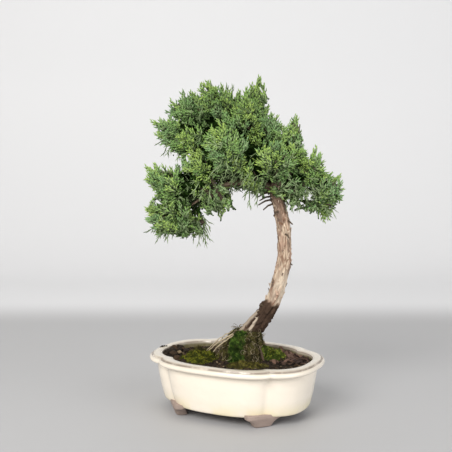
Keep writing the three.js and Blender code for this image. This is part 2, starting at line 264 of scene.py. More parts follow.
def bare_clay(settings):
    """Unglazed, fine pinkish grey stoneware."""
    f = Finish("bare_clay")
    sand = f.cloud(0.0012, 6.0)
    mottled = f.blend(f.cloud(0.009, 4.0), settings.clay, dim(settings.clay, 0.74))
    return f.surface(f.blend(sand.over(0.62, 0.75) * 0.5, mottled, (0.12, 0.085, 0.07)), 0.86, sand, 0.0004)


def dark_plastic():
    f = Finish("screen_plastic")
    return f.surface(f.blend(f.cloud(0.004), (0.02, 0.022, 0.022), (0.035, 0.037, 0.036)), 0.6,
                     f.cloud(0.001), 0.0001)


def earth(settings):
    """Dark crumbly potting soil with bits of humus."""
    f = Finish("dark_earth")
    crumbs = f.cloud(0.0022, 6.0, roughness=0.7)
    humus = f.cloud(0.012).over(0.55, 0.7) * 0.6
    colour = f.layered(
        dim(settings.soil, 0.35), (crumbs.over(0.35, 0.7), settings.soil), (humus, (0.062, 0.04, 0.022)),
    )
    return f.surface(colour, 0.93, crumbs, 0.0014, Specular_IOR_Level=0.15)


def grain_finish(settings):
    """Loose grains: near black, brown and, here and there, reddish or pale."""
    f = Finish("soil_grains")
    tone, pores = f.attribute("tone"), f.cloud(0.0009, 5.0, roughness=0.7)
    colour = f.layered(
        dim(settings.soil, 0.4), (tone.over(0.25, 0.55), settings.soil),
        (tone.over(0.7, 0.78), (0.055, 0.034, 0.02)), (tone.over(0.95, 0.97), (0.20, 0.15, 0.09)),
        (pores.over(0.5, 0.75) * 0.5, (0.012, 0.01, 0.008)),
    )
    return f.surface(colour, 0.9, pores, 0.0008, Specular_IOR_Level=0.15)


def chip_finish():
    f = Finish("bark_chips")
    fibre = f.cloud(0.0014, 5.0, (0.3, 1.0, 1.0))
    chip = f.blend(f.attribute("tone").over(0.2, 1.0), (0.03, 0.018, 0.014), (0.15, 0.088, 0.062))
    colour = f.blend(fibre.over(0.45, 0.7) * 0.5, chip, (0.035, 0.02, 0.014))
    return f.surface(colour, 0.85, fibre, 0.0007, Specular_IOR_Level=0.2)


def moss_finish(name, fresh, old, brown):
    """Moss: fresh tips, older green below, painted shade between the tufts, and patches that have browned."""
    f = Finish(name)
    tip = f.attribute("reach")
    patch, shade_between_tufts = f.cloud(0.009, 4.0).over(0.52, 0.68), f.cloud(0.0042).over(0.40, 0.54)
    browned = f.blend(tip, dim(brown, 0.45), dim(brown, 1.8))
    # The old green dimmed to 0.4 between the tufts is painted shade
    colour = f.layered(
        old, (tip, fresh), (f.attribute("tone") * 0.5, old), (patch, browned), (shade_between_tufts * 0.9, dim(old, 0.4)),
    )
    return f.surface(colour, 0.8, f.cloud(0.0012, 4.0), 0.0006, Specular_IOR_Level=0.1)


def bark_finish(settings):
    """Peeling bark: dark plates over a tan, pinkish under-bark, with fine fibres along the limb."""
    f = Finish("peeling_bark")
    lengthwise = f.node("ShaderNodeUVMap", {"uv_map": "along"})
    fibre = f.noise(lengthwise * (900.0, 110.0, 0.0), 1.0, 5.0, 0.65)
    streak = f.noise(lengthwise * (330.0, 40.0, 0.0), 1.0, 3.0, 0.6)
    under = f.blend(streak.over(0.35, 0.65), settings.under_bark, dim(settings.under_bark, 0.6))
    outer = f.blend(streak.over(0.4, 0.62), settings.plate_bark, dim(settings.plate_bark, 0.5))
    crack = f.cells((lengthwise + streak * 0.0016) * (230.0, 42.0, 0.0), 1.0, "DISTANCE_TO_EDGE")
    aged = f.blend(streak.over(0.42, 0.6), settings.old_bark, dim(settings.old_bark, 1.5))
    dead = f.blend(streak.over(0.54, 0.66) * 0.45, settings.pale_wood, settings.crack)
    colour = f.layered(
        under, (f.attribute("plate"), outer), (crack.over(0.07, 0.02) * 0.75, settings.crack),
        (f.attribute("old"), aged), (f.attribute("pale"), dead),
        (fibre.over(0.52, 0.68) * 0.45, (0.10, 0.062, 0.042)),
    )
    return f.surface(colour, 0.82, fibre, 0.001, Specular_IOR_Level=0.2)


def flake_finish(settings):
    """Loose scales of bark: tan, brown or weathered grey."""
    f = Finish("bark_flakes")
    tone, fibre = f.attribute("tone"), f.cloud(0.0012, 5.0, (1.0, 1.0, 0.3))
    colour = f.layered(
        settings.under_bark, (tone.over(0.45, 0.5), settings.plate_bark),
        (tone.over(0.72, 0.76), dim(settings.plate_bark, 0.3)),
        (fibre.over(0.5, 0.7) * 0.6, (0.08, 0.05, 0.035)),
    )
    return f.surface(colour, 0.85, fibre, 0.0005)


def twig_finish():
    f = Finish("young_twig_bark")
    colour = f.blend(f.cloud(0.002), (0.11, 0.075, 0.045), (0.05, 0.036, 0.024))
    return f.surface(colour, 0.8, f.cloud(0.0008), 0.0003)


def root_finish(settings):
    f = Finish("fine_roots")
    tone, dark = f.attribute("tone"), dim(settings.root, 0.5)
    colour = f.layered(
        settings.root, (f.cloud(0.003), dark), (tone.over(0.0, 0.06), dark),
        (tone.over(0.25, 0.6), (0.085, 0.065, 0.024)),
    )
    return f.surface(colour, 0.85, f.cloud(0.0007), 0.0003, Specular_IOR_Level=0.15)


def scale_leaf_finish(settings):
    """Scale leaves: yellow-green at the tips, grey-green along the shoots, and painted shade at their feet,
    on sunken plumes and on the crown's top.
    """
    f = Finish("scale_leaves")
    reach, clump = f.attribute("reach"), f.attribute("clump")
    patch = f.cloud(0.028, 2.0).over(0.42, 0.6)
    shade = f.blend(patch * 0.5 + clump * 0.5, settings.blue_leaf, settings.leaf)
    sunny = clump * 0.5 + f.attribute("fresh") * 0.5 + f.attribute("tone") * 0.1
    # The dark green at the shoots' feet, on the deepest-sunk plumes and on the crown's top is painted shade
    colour = f.layered(
        settings.leaf_shade, (reach.over(0.1, 0.75), shade),
        ((reach < 0.62) * reach.over(0.05, 0.2) * 0.6, settings.thread),
        (reach.over(0.3, 0.9) * sunny.over(0.4, 0.95), settings.leaf_tip),
        (f.attribute("depth").over(0.2, 1.0) * 0.55, settings.leaf_shade),
        (f.height().over(0.25, 0.30) * 0.25, settings.leaf_shade),
    )
    return f.surface(colour, 0.6, f.cells(f.place, 1 / 0.0009), 0.0002, Specular_IOR_Level=0.15)


# Where the floor's tone passes into the backdrop's, in metres: how far away, and how far from the pot
FLOOR_END = (0.40, 0.60)
FLOOR_REACH = (1.7, 2.3)


def floor_finish(settings):
    """A pale floor that passes into the backdrop's tone, far away and towards its sides."""
    f = Finish("pale_floor")
    floor = f.blend(f.cloud(0.4), settings.floor, dim(settings.floor, 0.97))
    away = f.vector("DOT_PRODUCT", f.place, tuple(TURN @ Vector((0, 1, 0))), out="Value").over(*FLOOR_END)
    reach = f.vector("LENGTH", f.place, out="Value").over(*FLOOR_REACH)
    wall = f.node("ShaderNodeMath", {"operation": "MAXIMUM"}, {0: away, 1: reach})
    glow = f.blend(wall, (0.0, 0.0, 0.0), settings.backdrop)
    return f.surface(f.blend(wall, floor, settings.backdrop), 0.6, Emission_Color=glow, Emission_Strength=0.1)


# Meshes


def place_in_scene(name, data):
    """A new object at the origin that holds some data."""
    made = bpy.data.objects.new(name, data)
    bpy.context.scene.collection.objects.link(made)
    return made


def plain_mesh(name, points, faces, smooth=False):
    mesh = bpy.data.meshes.new(name)
    mesh.from_pydata([tuple(p) for p in points], [], faces)
    mesh.polygons.foreach_set("use_smooth", [smooth] * len(mesh.polygons))
    return mesh


def new_piece(name, points, faces, *materials):
    """An object at the origin whose smooth mesh is in the frame, in metres."""
    mesh = plain_mesh(name, points, faces, True)
    for material in materials:
        mesh.materials.append(material)
    mesh.update()
    return place_in_scene(name, mesh)


@contextmanager
def reshaped(mesh, source=None):
    """A mesh, or its source, as a bmesh that is written to the mesh at the end."""
    shape = bmesh.new()
    if source or len(mesh.vertices):
        shape.from_mesh(source or mesh)
    yield shape
    shape.to_mesh(mesh)
    shape.free()


def modify(piece, kind, **settings):
    modifier = piece.modifiers.new(kind, kind)
    for key, value in settings.items():
        setattr(modifier, key, value)
    return modifier


def modified_mesh(piece):
    """The plain mesh that a piece's modifiers make. They are removed from it."""
    bpy.context.view_layer.update()
    mesh = bpy.data.meshes.new_from_object(piece.evaluated_get(bpy.context.evaluated_depsgraph_get()))
    piece.modifiers.clear()
    return mesh


def add_values(mesh, name, values):
    mesh.attributes.new(name, "FLOAT", "POINT").data.foreach_set("value", np.asarray(values, np.float32))


def settle(piece, slot, *replaced):
    """The piece rides on the one body and stands for its nodes, which it hides; its slot is not used."""
    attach(piece, "root")
    if replaced:
        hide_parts(*replaced)
    return piece


def ring_faces(rings, sides):
    """Faces of a loft of rings with equal sides, its two end points being the last two points."""
    end = rings * sides
    faces = []
    for row in range(0, end - sides, sides):
        faces += [(row + i, row + j, row + sides + j, row + sides + i) for i, j in neighbours(sides)]
    for i, j in neighbours(sides):
        faces += [(end, j, i), (end + 1, end - sides + i, end - sides + j)]
    return faces


class Body:
    """Points, faces and a value for each point, gathered for one mesh. Stems are in millimetres."""

    def __init__(self):
        self.points, self.faces, self.values = [], [], []

    def add(self, points, faces, values=()):
        """Adds points, faces that count from the first of them, and their values."""
        base = len(self.points)
        self.points += points
        self.faces += [tuple(base + i for i in face) for face in faces]
        self.values += values

    def stem(self, path, radii, values, sides=3):
        """Adds a closed, tapering stem along a path that ends in a point."""
        points, faces = [], []
        last = (len(radii) - 1) * sides
        for k, radius in enumerate(radii):
            ahead = (path[k + 1] - path[max(k - 1, 0)]).normalized()
            normal = normal - ahead * normal.dot(ahead) if k else ahead.orthogonal()
            normal.normalize()
            across = ahead.cross(normal)
            points += [path[k] + (normal * math.cos(a) + across * math.sin(a)) * radius for a in turns(sides)]
        for row in range(0, last, sides):
            faces += [(row + j, row + i, row + sides + i, row + sides + j) for j, i in neighbours(sides)]
        faces += [(last + j, last + i, last + sides) for j, i in neighbours(sides)]
        faces.append(tuple(reversed(range(sides))))
        self.add([*points, path[-1]], faces, [v for v in values[:-1] for _ in range(sides)] + [values[-1]])

    def mesh(self, smooth=True):
        mesh = plain_mesh("shape", [p * MM for p in self.points], self.faces, smooth)
        add_values(mesh, "reach", self.values)
        return mesh

    def shoot(self, name, finish, **values):
        """A piece with the values that set its leaves' colours."""
        piece = new_piece(name, self.points, self.faces, finish)
        add_values(piece.data, "reach", self.values)
        for key, value in values.items():
            add_values(piece.data, key, [value] * len(self.points))
        return piece


def outward(mesh, merged=True):
    """Points every face outwards, once doubles are merged."""
    with reshaped(mesh) as shape:
        if merged:
            bmesh.ops.remove_doubles(shape, verts=shape.verts, dist=1e-7)
        bmesh.ops.recalc_face_normals(shape, faces=shape.faces)
    mesh.update()


def grown(name, carrier, tree, values, finish):
    """The piece that a geometry tree makes on a carrier object, which is then removed."""
    modifier = modify(carrier, "NODES", node_group=tree)
    for item in tree.interface.items_tree:
        if item.item_type == "SOCKET" and item.in_out == "INPUT" and item.name in values:
            modifier[item.identifier] = values[item.name]
    mesh = modified_mesh(carrier)
    mesh.name = name
    bpy.data.objects.remove(carrier)
    if finish.name not in mesh.materials:
        mesh.materials.append(finish)
    return place_in_scene(name, mesh)


def joined(name, pieces):
    """Several mesh objects as one, under a new name. Empty ones are dropped."""
    for piece in [p for p in pieces if not len(p.data.polygons)]:
        pieces.remove(piece)
        bpy.data.objects.remove(piece)
    with bpy.context.temp_override(
        active_object=pieces[0], object=pieces[0], selected_objects=pieces, selected_editable_objects=pieces
    ):
        bpy.ops.object.join()
    pieces[0].name = name
    pieces[0].data.name = name
    return pieces[0]


def variants(name, meshes):
    """A hidden collection of objects that a geometry tree picks from."""
    collection = bpy.data.collections.new(name)
    for i, mesh in enumerate(meshes):
        collection.objects.link(bpy.data.objects.new(f"{name}_{i:02d}", mesh))
    return collection


# Geometry trees


SOCKETS = {type(None): "Collection", float: "Float", int: "Int", tuple: "Vector"}
# The most copies and the most plumes on a square metre
MOST_COPIES, MOST_PLUMES = 4e6, 1e6


def new_tree(name, inputs):
    """A geometry tree with its named inputs, and a wire from each of them."""
    tree = bpy.data.node_groups.new(name, "GeometryNodeTree")
    tree.interface.new_socket("Geometry", in_out="INPUT", socket_type="NodeSocketGeometry")
    for label, default in inputs.items():
        kind = "NodeSocket" + SOCKETS[type(default)]
        socket = tree.interface.new_socket(label, in_out="INPUT", socket_type=kind)
        if default is not None:
            socket.default_value = default
    tree.interface.new_socket("Geometry", in_out="OUTPUT", socket_type="NodeSocketGeometry")
    graph = Graph(tree)
    entry = tree.nodes.new("NodeGroupInput")
    return graph, {socket.name: Wire(graph, socket) for socket in entry.outputs if socket.name}


def end_tree(graph, geometry, material):
    """Realizes the instances, sets their material and closes the tree."""
    real = graph.node("GeometryNodeRealizeInstances", sockets={"Geometry": geometry})
    painted = graph.node("GeometryNodeSetMaterial", sockets={"Geometry": real, "Material": material})
    graph.node("NodeGroupOutput", sockets={0: painted})
    return graph.tree


def random_number(graph, low, high, seed):
    sockets = {2: low, 3: high, "Seed": seed}
    return graph.node("FunctionNodeRandomValue", {"data_type": "FLOAT"}, sockets, out=1)


def random_vector(graph, size, seed):
    sockets = {0: (-size,) * 3, 1: (size,) * 3, "Seed": seed}
    return graph.node("FunctionNodeRandomValue", {"data_type": "FLOAT_VECTOR"}, sockets, out=0)


def strewn_points(graph, given, most):
    """Points on a surface, a spacing or more apart, at most so many in a square metre, and its normals."""
    settings = {"distribute_method": "POISSON"}
    sockets = {"Mesh": given["Geometry"], "Distance Min": given["Spacing"], "Density Max": most}
    sockets["Seed"] = given["Seed"]
    points = graph.node("GeometryNodeDistributePointsOnFaces", settings, sockets, out="Points")
    return points, Wire(graph, points.socket.node.outputs["Normal"])


def moved(graph, points, offset):
    return graph.node("GeometryNodeSetPosition", sockets={"Geometry": points, "Offset": offset})


def marked(graph, geometry, domain, kind, name, value):
    """Geometry with a named value stored on it."""
    sockets = {"Geometry": geometry, "Name": name, "Value": value}
    return graph.node("GeometryNodeStoreNamedAttribute", {"data_type": kind, "domain": domain}, sockets)


def set_along(graph, axis):
    """A rotation that sets Z along an axis."""
    return graph.node("FunctionNodeAlignRotationToVector", {"axis": "Z"}, {"Vector": axis})


def spun(graph, heading, seed):
    """A rotation followed by a random spin about its own Z axis."""
    angle = random_number(graph, 0.0, 2 * math.pi, seed)
    spin = graph.node("FunctionNodeAxisAngleToRotation", sockets={"Axis": (0, 0, 1), "Angle": angle})
    sockets = {"Rotation": heading, "Rotate By": spin}
    return graph.node("FunctionNodeRotateRotation", {"rotation_space": "LOCAL"}, sockets)


def scattering_tree(name, material, along=False):
    """Copies of a collection's shapes strewn on a surface, turned along its normals.

    With along, their X axes lie along the upright, as scales of bark do."""
    sizes = {"Spacing": 0.002, "Smallest": 0.7, "Largest": 1.2, "Rise": 0.0, "Spread": 0.3}
    graph, given = new_tree(name, {"Shapes": None, **sizes, "Seed": 0})
    seed = given["Seed"]
    points, normal = strewn_points(graph, given, MOST_COPIES)
    heading = set_along(graph, graph.unit(normal + random_vector(graph, 1.0, seed + 1) * given["Spread"]))
    if along:
        upright = random_vector(graph, 0.35, seed + 6) + (0.0, 0.0, 1.0)
        sockets = {"Rotation": heading, "Vector": upright}
        turn = graph.node("FunctionNodeAlignRotationToVector", {"axis": "X", "pivot_axis": "Z"}, sockets)
    else:
        turn = spun(graph, heading, seed + 2)
    return finish_copies(graph, given, moved(graph, points, normal * given["Rise"]), turn, seed, material)


def finish_copies(graph, given, points, turn, seed, material):
    """Instances a collection's shapes on points, with a random size and tone each."""
    sockets = {"Collection": given["Shapes"], "Separate Children": True, "Reset Children": True}
    shapes = graph.node("GeometryNodeCollectionInfo", sockets=sockets)
    scale = random_number(graph, given["Smallest"], given["Largest"], seed + 3)
    sockets = {"Points": points, "Instance": shapes, "Pick Instance": True, "Rotation": turn, "Scale": scale}
    copies = graph.node("GeometryNodeInstanceOnPoints", sockets=sockets)
    toned = marked(graph, copies, "INSTANCE", "FLOAT", "tone", random_number(graph, 0.0, 1.0, seed + 4))
    plain = graph.node("GeometryNodeRemoveAttribute", sockets={"Geometry": toned, "Name": "heading"})
    return end_tree(graph, plain, material)


def foliage_tree(name, material):
    """Plumes of sprays that fan out from one place and end just under a surface."""
    inputs = {
        "Shapes": None, "Fan origin": (0, 0, 0), "Spacing": 0.006, "Sprays": 4, "Length": SPRAY_LENGTH * MM,
        "Deepest": 0.008, "Proud": 0.001, "Outward": 0.35, "Clumps": 55.0, "Clump depth": 0.016,
        "Valley": 0.006, "Uneven": 0.0025, "Lift": 0.35, "Spread": 0.2, "Smallest": 0.8, "Largest": 1.15,
        "Seed": 0,
    }
    graph, given = new_tree(name, inputs)
    seed = given["Seed"]
    points, normal = strewn_points(graph, given, MOST_PLUMES)
    place = graph.node("GeometryNodeInputPosition")
    sink = random_number(graph, 0.0, 1.0, seed + 5)
    sink = sink * sink
    up = graph.node("ShaderNodeCombineXYZ", sockets={"Z": given["Lift"]})
    ray = graph.unit(graph.unit(place - given["Fan origin"]) + normal * given["Outward"] + up)
    sockets = {"Vector": place, "Scale": given["Clumps"]}
    cells = graph.node("ShaderNodeTexVoronoi", sockets=sockets, out="Distance")
    clump = Wire(graph, cells.socket.node.outputs["Position"])
    vigour = graph.node("ShaderNodeTexWhiteNoise", sockets={"Vector": clump * 97.0})
    fan = graph.unit(place - clump + ray * given["Clump depth"])
    axis = graph.unit(fan + random_vector(graph, 1.0, seed + 6) * given["Spread"])
    points = marked(graph, points, "POINT", "FLOAT_VECTOR", "heading", axis)
    fresh = random_number(graph, 0.0, 1.0, seed + 11)
    for key, value in (("depth", sink), ("fresh", fresh), ("clump", vigour)):
        points = marked(graph, points, "POINT", "FLOAT", key, value)
    rise = given["Proud"] + given["Uneven"] * vigour.over(0.45, 1.0)
    drop = given["Valley"] * cells.over(0.3, 0.8)
    lowered = moved(graph, points, ray * (rise - given["Deepest"] * sink - drop))
    sockets = {"Geometry": lowered, "Amount": given["Sprays"]}
    copies = graph.node("GeometryNodeDuplicateElements", {"domain": "POINT"}, sockets)
    rank = Wire(graph, copies.socket.node.outputs["Duplicate Index"])
    vectors = {"data_type": "FLOAT_VECTOR"}
    heading = graph.node("GeometryNodeInputNamedAttribute", vectors, {"Name": "heading"})
    aside = graph.unit(graph.vector("CROSS_PRODUCT", heading, random_vector(graph, 1.0, seed + 8)))
    tilt = random_number(graph, 0.4, 0.85, seed + 9) * (rank > 1.5) + 0.16 * (rank > 0.5)
    behind = (rank > 0.5) * given["Length"] * 0.55 + (rank > 1.5) * rank * 0.001
    rooted = moved(graph, copies, heading * ((given["Length"] + behind) * -1.0))
    turn = spun(graph, set_along(graph, graph.unit(heading + aside * tilt)), seed + 7)
    return finish_copies(graph, given, rooted, turn, seed, material)


def tube_tree(name, material):
    """Round tubes along curves, as thick as each point's radius."""
    graph, given = new_tree(name, {"Sides": 6})
    profile = graph.node("GeometryNodeCurvePrimitiveCircle", sockets={0: given["Sides"], "Radius": 1.0})
    radius = graph.node("GeometryNodeInputRadius")
    sockets = {"Curve": given["Geometry"], "Profile Curve": profile, "Scale": radius, "Fill Caps": True}
    tubes = graph.node("GeometryNodeCurveToMesh", sockets=sockets)
    return end_tree(graph, graph.node("GeometryNodeSetShadeSmooth", sockets={"Geometry": tubes}), material)


def path_tubes(name, paths, sides, material):
    """Tubes along paths of (point, radius), as one mesh."""
    curve = bpy.data.curves.new(name + "_paths", "CURVE")
    curve.dimensions = "3D"
    for path in paths:
        spline = curve.splines.new("POLY")
        spline.points.add(len(path) - 1)
        for point, (place, radius) in zip(spline.points, path):
            point.co = (*place, 1.0)
            point.radius = radius
    carrier = place_in_scene(name + "_carrier", curve)
    return grown(name, carrier, tube_tree(name + "_tree", material), {"Sides": sides}, material)


def strewn(name, carrier, shapes, finish, along=False, **values):
    """A piece of some shapes strewn on a carrier's faces."""
    tree = scattering_tree(name + "_tree", finish, along)
    values = {key.capitalize(): value for key, value in values.items()}
    return grown(name, carrier, tree, {"Shapes": variants(name + "_shapes", shapes), **values}, finish)


# Pot

POT_SIDES = 256
NOTCH_X = 55.7
NOTCH_Y = 47.0
FOOT_HEIGHT = 8.6
FOOT_X = 43.5
FOOT_Y = 35.2
FOOT_THICKNESS = 11.0
FOOT_SLOPE = 0.4
FLOOR_TOP = 14.8
DRAIN_X = 27.0
DRAIN_RADIUS = 6.5
# Offset inward from the rim's outline, height, how brown the glaze's edge is, how stained the glaze is,
# with painted shade on the rim's top, and how soft the notches are
POT_PROFILE = [
    (26.0, 8.6, 0, 0, 2), (16.2, 8.6, 0, 0, 2), (13.4, 8.9, 0.2, 0, 2), (12.2, 10.0, 0, 0, 1.8),
    (11.4, 12.4, 0, 0, 1.7), (10.4, 16.5, 0, 0, 1.6), (9.2, 22.0, 0, 0, 1.6), (8.2, 28.0, 0, 0, 1.6),
    (7.2, 34.0, 0, 0, 1.5), (6.5, 40.0, 0, 0, 1.5), (6.3, 43.2, 0, 0, 1.4), (6.1, 45.2, 0.12, 0, 1.3),
    (4.2, 46.2, 0, 0, 1.1), (1.6, 46.6, 0, 0, 1), (0.3, 47.7, 0, 0, 0.9), (0.0, 49.2, 0, 0.06, 0.9),
    (0.35, 50.4, 0, 0.2, 0.9), (1.0, 51.2, 0.1, 0.3, 0.9), (1.7, 51.35, 1, 0, 0.9), (2.2, 51.1, 1, 0, 0.9),
    (2.6, 51.5, 1, 0, 0.9), (2.9, 52.3, 0.8, 0.3, 0.8), (3.6, 52.9, 0.1, 0.36, 0.8),
    (5.2, 53.1, 0, 0.36, 0.8), (7.6, 53.0, 0, 0.36, 0.8), (9.2, 52.7, 0.15, 0.42, 0.9),
    (9.9, 52.3, 0.9, 0, 0.9), (10.2, 51.5, 0.9, 0.3, 1), (10.4, 50.4, 0.1, 0.8, 1.2), (10.6, 48.8, 0, 1, 1.8),
    (10.9, 46.5, 0, 1, 2), (11.0, 44.0, 0, 1, 2.5), (13.2, 28.0, 0, 1, 3), (16.0, 18.0, 0, 1, 3),
    (19.0, 14.8, 0, 1, 3),
]


def lobed(offset, z, sides=POT_SIDES, softness=0.0):
    """The pot's outline: four lobes that meet in softened notches, set in by an offset and up to a height."""
    half = (POT_HIGH - POT_LOW) / 2 / MM
    half = (half.x - offset, half.y - offset)
    notch = (NOTCH_X - 0.95 * offset, NOTCH_Y - 0.95 * offset)
    steps = 64
    ring = []
    for lobe in range(4):
        out, along = (1, 0) if lobe % 2 else (0, 1)
        facing = 1 if lobe < 2 else -1
        heading = 1 if lobe in (0, 3) else -1
        for i in range(steps):
            s = -math.cos(math.pi * i / steps)
            bulge = (1 - abs(s) ** 2.6) ** 0.6
            p = [0.0, 0.0]
            p[out] = facing * (notch[out] + (half[out] - notch[out]) * bulge)
            p[along] = heading * s * notch[along]
            ring.append(p)
    ring = np.array(ring)
    lengths = np.linalg.norm(np.roll(ring, -1, axis=0) - ring, axis=1)
    places = np.concatenate([[0.0], np.cumsum(lengths)])
    closed = np.vstack([ring, ring[:1]])
    at = np.arange(sides) * places[-1] / sides
    even = np.stack([np.interp(at, places, closed[:, k]) for k in (0, 1)], axis=1)
    if softness:
        reach = np.minimum(at, places[-1] - at) / softness
        weights = np.exp(-(reach**2) / 2)
        weights /= weights.sum()
        spread = np.fft.fft(weights)
        even = np.stack([np.real(np.fft.ifft(np.fft.fft(even[:, k]) * spread)) for k in (0, 1)], axis=1)
    return [POT_MIDDLE + Vector((x, y, z)) * MM for x, y in even]


def curved(stations, parts):
    """Stations joined by a smooth curve, with some parts between each two."""
    made = []
    count = len(stations)
    rows = [np.array(s, float) for s in stations]
    for k in range(count - 1):
        a, b = rows[k], rows[k + 1]
        before, after = rows[max(k - 1, 0)], rows[min(k + 2, count - 1)]
        for i in range(parts):
            t = i / parts
            made.append(
                0.5 * (2 * a + (b - before) * t + (2 * before - 5 * a + 4 * b - after) * t**2
                       + (3 * a - before - 3 * b + after) * t**3)
            )
    made.append(rows[-1])
    return made


# Half width of a bracket foot, how far its edge is rounded in, and its height
FOOT_PROFILE = [
    (8.6, 0.9, 0.0), (8.6, 0.25, 0.3), (8.9, 0.0, 1.0), (9.7, 0.0, 2.4), (11.2, 0.0, 4.4), (13.8, 0.0, 6.4),
    (16.5, 0.0, 7.8), (17.0, 0.0, 9.4), (17.0, 0.0, 11.6),
]
FOOT_SIDES = 40
FOOT_SQUARENESS = 0.45


def bracket_foot(sign_x, sign_y, clay):
    """One bracket foot: wide under the pot, drawn in to a flat end, with rounded corners."""
    distance = math.hypot(FOOT_X, FOOT_Y)
    turn = Matrix.Rotation(math.atan2(sign_y * FOOT_Y, sign_x * FOOT_X) + math.pi / 2, 3, "Z")

    def square(value):
        return math.copysign(abs(value) ** FOOT_SQUARENESS, value)

    def placed(x, y, z):
        lean = FOOT_SLOPE * max(0.0, FOOT_HEIGHT - z)
        return POT_MIDDLE + turn @ Vector((x, y + lean - distance, max(z, 0.0))) * MM

    points = []
    stations = curved(FOOT_PROFILE, 3)
    for half, inset, z in stations:
        for i in range(FOOT_SIDES):
            angle = 2 * math.pi * (i + 0.5) / FOOT_SIDES
            x = (half - inset) * square(math.cos(angle))
            y = (FOOT_THICKNESS / 2 - inset) * square(math.sin(angle))
            points.append(placed(x, y, z))
    points += [placed(0, 0, stations[0][2]), placed(0, 0, stations[-1][2])]
    foot = new_piece("foot", points, ring_faces(len(stations), FOOT_SIDES), clay)
    outward(foot.data)
    return foot


def make_pot(settings):
    profile = curved(POT_PROFILE, 3)
    points = []
    for offset, z, _, _, softness in profile:
        points += lobed(offset, z, softness=softness)
    points += [POT_MIDDLE + Vector((0, 0, z)) * MM for z in (POT_PROFILE[0][1], FLOOR_TOP)]
    clay = bare_clay(settings)
    pot = new_piece("glazed_pot", points, ring_faces(len(profile), POT_SIDES), glaze(settings), clay)
    for name, column, ends in (("edge", 2, [0.0, 0.0]), ("stain", 3, [0.0, 1.0])):
        add_values(pot.data, name, [clamp(row[column]) for row in profile for _ in range(POT_SIDES)] + ends)
    outward(pot.data)
    drill_drains(pot)
    for face in pot.data.polygons:
        face.material_index = int(face.center.z < (FOOT_HEIGHT + 0.25) * MM)
    feet = [bracket_foot(x, y, clay) for x in (-1, 1) for y in (-1, 1)]
    return settle(joined("glazed_pot", [pot, *feet]), "glazed_stoneware", "pot")


def drill_drains(pot):
    """Two round drain holes through the pot's floor."""
    bits = []
    radius = DRAIN_RADIUS * MM
    for side in (-1, 1):
        mesh = bpy.data.meshes.new("drill")
        middle = Matrix.Translation(POT_MIDDLE + Vector((side * DRAIN_X, 0, FLOOR_TOP - 3)) * MM)
        with reshaped(mesh) as shape:
            bmesh.ops.create_cone(
                shape, cap_ends=True, segments=48, radius1=radius, radius2=radius, depth=0.02, matrix=middle
            )
        bits.append(place_in_scene("drill", mesh))
        modify(pot, "BOOLEAN", operation="DIFFERENCE", solver="EXACT", object=bits[-1])
    pot.data = modified_mesh(pot)
    for bit in bits:
        bpy.data.objects.remove(bit)


# Soil

SOIL_LEVEL = 47.0
MOUND_RIGHT = 9.5
MOUND_TOP = 13.0
MOUND_FOOT = 24.0
MOUND_RISE = 24.0
SOIL_SIDES = 160
SOIL_RINGS = 72


def mound_distance(p):
    """How far a point is from the mound's middle, in millimetres, as the mound is a little oval."""
    middle = shown(MOUND_RIGHT, 0, 0)
    return math.hypot(p.x - middle.x, (p.y - middle.y) * 1.12) / MM


def ground(p, rough=1.0):
    """Height of the ground at a point of the frame, in metres."""
    distance = mound_distance(p)
    across = (seen_at(p).x - MOUND_RIGHT) / max(distance, 1.0)
    steep, gentle = smooth_step(0.1, 0.8, across), smooth_step(0.3, 0.9, -across)
    foot, top = MOUND_FOOT - 7 * steep + 7 * gentle, MOUND_TOP - 2 * steep - 3.5 * gentle
    share = smooth_step(0.0, 1.0, (foot - distance) / (foot - top))
    heap = 2.2 * math.exp(-((distance / 45) ** 2))
    flat = Vector((p.x, p.y, 0.0))
    lumps = 1.3 * noise.noise(flat * 120) + 0.8 * noise.noise(flat * 330) + 0.4 * noise.noise(flat * 900)
    return (SOIL_LEVEL + heap + MOUND_RISE * share + rough * lumps) * MM


def ground_point(p, rough=1.0):
    return Vector((p.x, p.y, ground(p, rough)))


def ground_normal(p):
    step = 0.0008
    right = ground_point(p + Vector((step, 0, 0)), 0) - ground_point(p - Vector((step, 0, 0)), 0)
    away = ground_point(p + Vector((0, step, 0)), 0) - ground_point(p - Vector((0, step, 0)), 0)
    return right.cross(away).normalized()


def make_soil(settings):
    wall = [(20.5, FLOOR_TOP + 0.35), (16.5, 18.3), (13.7, 28.0), (11.5, 44.0)]
    points = []
    for offset, z in wall:
        points += lobed(offset, z, SOIL_SIDES, 2.5)
    edge = points[-SOIL_SIDES:]
    middle = shown(MOUND_RIGHT, 0, 0)
    for ring in range(1, SOIL_RINGS):
        share = 1 - ring / SOIL_RINGS
        for p in edge:
            q = middle.lerp(p, share)
            q.z = ground(q) - 0.0014 * smooth_step(0.95, 1.0, share)
            points.append(q)
    points += [POT_MIDDLE + Vector((0, 0, FLOOR_TOP + 0.35)) * MM, ground_point(middle)]
    soil = new_piece("soil_bed", points, ring_faces(len(wall) + SOIL_RINGS - 1, SOIL_SIDES), earth(settings))
    outward(soil.data)
    return settle(soil, "soil", "soil")


def lump(radius, squash, seed, subdivisions=1, stretch=1.0):
    """A small rough grain as a mesh, stretched along X and squashed along Z."""
    mesh = bpy.data.meshes.new("grain")
    draw = np.random.default_rng(seed)
    with reshaped(mesh) as shape:
        bmesh.ops.create_icosphere(shape, subdivisions=subdivisions, radius=radius)
        for vertex in shape.verts:
            vertex.co *= draw.uniform(0.72, 1.2)
            vertex.co.x *= stretch
            vertex.co.z *= squash
    return mesh


def upper_faces(source, keep):
    """A copy of a piece's faces that a rule keeps, as a carrier for what lies on them."""
    mesh = bpy.data.meshes.new("carrier")
    with reshaped(mesh, source.data) as shape:
        drop = [face for face in shape.faces if not keep(face.calc_center_median(), face.normal, face)]
        bmesh.ops.delete(shape, geom=drop, context="FACES")
    return place_in_scene("carrier", mesh)


